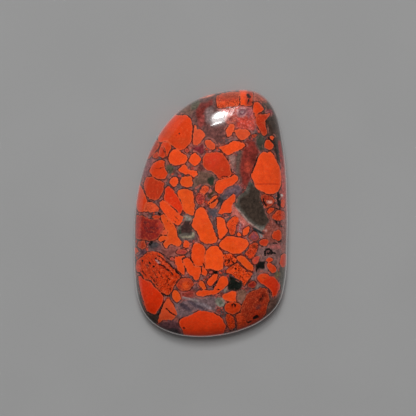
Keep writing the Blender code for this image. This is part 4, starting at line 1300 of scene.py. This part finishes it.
def polished_breccia():
    """The stone's material: the pattern in its attributes, roughened, under a high polish."""
    r = Recipe("polished_breccia")
    edge, shade = fragments_of_stone(r)
    crack = r.sum(r.attribute("crack"), r.wobble(3.5, 3.0, 34.0, CRACK_WOBBLE))
    crack_mask = r.ramp(crack, *CRACK_BLURS, 1.0, 0.0)
    rock = jasper_colour(r, shade, edge, crack_mask)
    ground = chalcedony_colour(r, edge, crack_mask)
    colour = r.blend(r.ramp(edge, -EDGE_BLUR, EDGE_BLUR), ground, rock)
    colour = r.laid_over(colour, LAPPED_STONE, r.attribute("lapped"), 0.22)
    colour = r.laid_over(colour, LAPPED_STONE, r.attribute("girdle"), 0.16)
    # The frosted line's pale colour is partly frost and partly a painted highlight along the rim
    r.set("Base Color", r.laid_over(colour, FROSTED_STONE_AND_RIM_HIGHLIGHT, r.attribute("frost_and_rim_highlight")))
    r.set("Roughness", roughness(r, crack_mask))
    r.set("IOR", STONE_IOR)
    bump = node(
        r.tree, "ShaderNodeBump", Height=relief(r, edge, crack_mask),
        Strength=RELIEF_STRENGTH, Distance=RELIEF * MM)
    r.set("Normal", bump.outputs["Normal"])
    return r.material


# The photograph: its side in pixels, its scale, and the pixel where the stone's middle lies
PHOTO_SIDE = 416
PHOTO_MM_PER_PIXEL = 0.17
STONE_PIXEL = (210.75, 213.25)

# The camera's lens and sensor in millimetres, and the nearest and furthest that it sees in metres
LENS = 400.0
SENSOR = 36.0
CLIP_NEAR = 0.01
CLIP_FAR = 10.0

# The floor's shade, its side in metres, how much its shade varies, and its roughness
FLOOR_SHADE = (158, 158, 158)
FLOOR_SIZE = 3.0
FLOOR_MOTTLE = 0.015
FLOOR_ROUGHNESS = 0.9


def floor():
    """Plain grey paper under the stone, which its polish doesn't mirror."""
    bpy.ops.object.select_all(action="DESELECT")
    bpy.ops.mesh.primitive_plane_add(size=FLOOR_SIZE)
    sheet = bpy.context.object
    sheet.name = "floor"
    r = Recipe("floor_paper")
    mottle = r.patches(0.05, 2.0, 0.0, 0.3, 0.7, 1 - FLOOR_MOTTLE, 1 + FLOOR_MOTTLE)
    paper = node(r.tree, "ShaderNodeRGB").outputs["Color"]
    paper.default_value = (*linear(FLOOR_SHADE), 1.0)
    r.set("Base Color", r.scaled(paper, mottle))
    r.set("Roughness", FLOOR_ROUGHNESS)
    sheet.data.materials.append(r.material)
    sheet.visible_glossy = False


def camera():
    """Straight above the stone, framed as the photograph is."""
    lens = bpy.data.cameras.new("camera")
    lens.lens = LENS
    lens.sensor_width = SENSOR
    lens.clip_start = CLIP_NEAR
    lens.clip_end = CLIP_FAR
    eye = bpy.data.objects.new("camera", lens)
    bpy.context.scene.collection.objects.link(eye)
    across = PHOTO_SIDE * PHOTO_MM_PER_PIXEL * MM
    middle = PHOTO_SIDE / 2
    x = (middle - STONE_PIXEL[0]) * PHOTO_MM_PER_PIXEL * MM
    y = (STONE_PIXEL[1] - middle) * PHOTO_MM_PER_PIXEL * MM
    eye.location = (x, y, across * LENS / SENSOR)
    bpy.context.scene.camera = eye


def softbox(name, place, size, radiance, shape="RECTANGLE", mirrored=True, turn=0.0):
    """A flat lamp that faces the stone.

    Its place, width and height are in metres, radiance is the brightness of its face, and turn
    is how far it is turned about the line to the stone, in radians.
    """
    lamp = bpy.data.lights.new(name, "AREA")
    lamp.shape = shape
    lamp.size, lamp.size_y = size
    area = size[0] * size[1] * (math.pi / 4 if shape == "ELLIPSE" else 1.0)
    lamp.energy = radiance * math.pi * area
    item = bpy.data.objects.new(name, lamp)
    item.location = place
    item.rotation_euler = (-Vector(place)).to_track_quat("-Z", "Y").to_euler()
    item.rotation_euler.rotate_axis("Z", turn)
    item.visible_camera = False
    item.visible_glossy = mirrored
    bpy.context.scene.collection.objects.link(item)


def lights():
    """A big soft lamp beyond the top end, a small bright one in it, and a narrow strip under that."""
    softbox("window", (-0.10, 0.84, 1.24), (0.80, 0.80), 8.4, mirrored=False)
    softbox("key", (-0.127, 0.838, 0.928), (0.072, 0.150), 62.0, "ELLIPSE", turn=-0.2)
    softbox("key_strip", (-0.121, 0.676, 1.024), (0.075, 0.020), 42.0, "ELLIPSE", turn=0.25)


# Brightness of the room: what lights the stone, and what its polish mirrors high up, of the wall
# all round and of the paper below, and the share of it that is missing at the front
ROOM_LIGHT = 0.20
MIRRORED_SKY = 0.08
MIRRORED_WALL = 0.24
MIRRORED_PAPER = 0.18
FRONT_DARKENED = 0.9

# Places in the room, each from -1 to 1. Up is 1 overhead, and beyond is 1 past the stone's top end.
# The wall is low all round and higher beyond, and fades out at its top. The front is dark, save
# straight below. LEAST_ACROSS keeps a division by nearly nothing out of the zenith.
LEAST_ACROSS = 0.05
WALL_TOP = (0.10, 0.44)
WALL_RISES = (0.1, 0.5)
WALL_FADE = 0.14
HORIZON = (-0.22, 0.02)
FRONT = (-0.62, -0.18)
STRAIGHT_BELOW = (-0.97, -0.86)

# The haze round the bright lamp as the polish mirrors it: where it is, its size, how it leans, its
# brightness in the middle and the most of it that shows, how fast it falls off, and between
# which places towards the stone's top end it sets in
GLOW_SIDEWAYS = 0.103
GLOW_UP = 0.760
GLOW_WIDTH = 0.092
GLOW_HEIGHT = 0.132
GLOW_LEAN = 0.45
GLOW_PEAK = 180.0
GLOW_CEILING = 11.0
GLOW_FALLS = 4.0
GLOW_BEYOND = (0.1, 0.2)


def mirrored_room(w, x, y, up):
    """Pale wall and paper, and a dark front."""
    across = w.maths("SQRT", w.sum(w.product(x, x), w.product(y, y)))
    beyond = w.maths("DIVIDE", y, w.larger(across, LEAST_ACROSS))
    above_wall = w.less(up, w.ramp(beyond, *WALL_RISES, *WALL_TOP))
    wall = w.ramp(above_wall, -WALL_FADE, 0.0, MIRRORED_WALL, 0.0)
    paper = w.ramp(up, *HORIZON, MIRRORED_PAPER, 0.0)
    pale = w.sum(w.sum(wall, paper), MIRRORED_SKY)
    dark = w.product(w.ramp(beyond, *FRONT, 1.0, 0.0), w.ramp(up, *STRAIGHT_BELOW))
    return w.product(pale, w.less(1.0, w.product(dark, FRONT_DARKENED)))


def mirrored_glow(w, x, y, up):
    """A leaning oval haze that is brightest in its middle."""
    aside = w.sum(x, GLOW_SIDEWAYS)
    sideways = w.maths("DIVIDE", aside, GLOW_WIDTH)
    level = w.sum(GLOW_UP, w.product(aside, GLOW_LEAN))
    upward = w.maths("DIVIDE", w.less(up, level), GLOW_HEIGHT)
    away = w.maths("SQRT", w.sum(w.maths("POWER", sideways, 2.0), w.maths("POWER", upward, 2.0)))
    nearness = w.larger(w.less(1.0, away), 0.0)
    glow = w.product(w.maths("POWER", nearness, GLOW_FALLS), GLOW_PEAK)
    return w.product(w.maths("MINIMUM", glow, GLOW_CEILING), w.ramp(y, *GLOW_BEYOND))


def surroundings():
    """Even light all round, and a room with a lamp's glow for the polish to mirror."""
    world = bpy.data.worlds.new("studio")
    world.use_nodes = True
    w = Wiring(world.node_tree)
    direction = w.tree.nodes.new("ShaderNodeTexCoord").outputs["Generated"]
    x, y, up = node(w.tree, "ShaderNodeSeparateXYZ", Vector=direction).outputs
    mirrored = w.sum(mirrored_room(w, x, y, up), mirrored_glow(w, x, y, up))
    is_mirror = w.tree.nodes.new("ShaderNodeLightPath").outputs["Is Glossy Ray"]
    background = w.tree.nodes["Background"]
    background.inputs["Color"].default_value = (1.0, 1.0, 1.0, 1.0)
    w.tree.links.new(w.between(is_mirror, ROOM_LIGHT, mirrored), background.inputs["Strength"])
    bpy.context.scene.world = world


def main():
    stone = stone_piece()
    stone.data.materials.append(polished_breccia())
    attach(stone, "root")
    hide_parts("cabochon")
    floor()
    camera()
    lights()
    surroundings()
    bpy.context.scene.view_settings.view_transform = "Standard"


main()
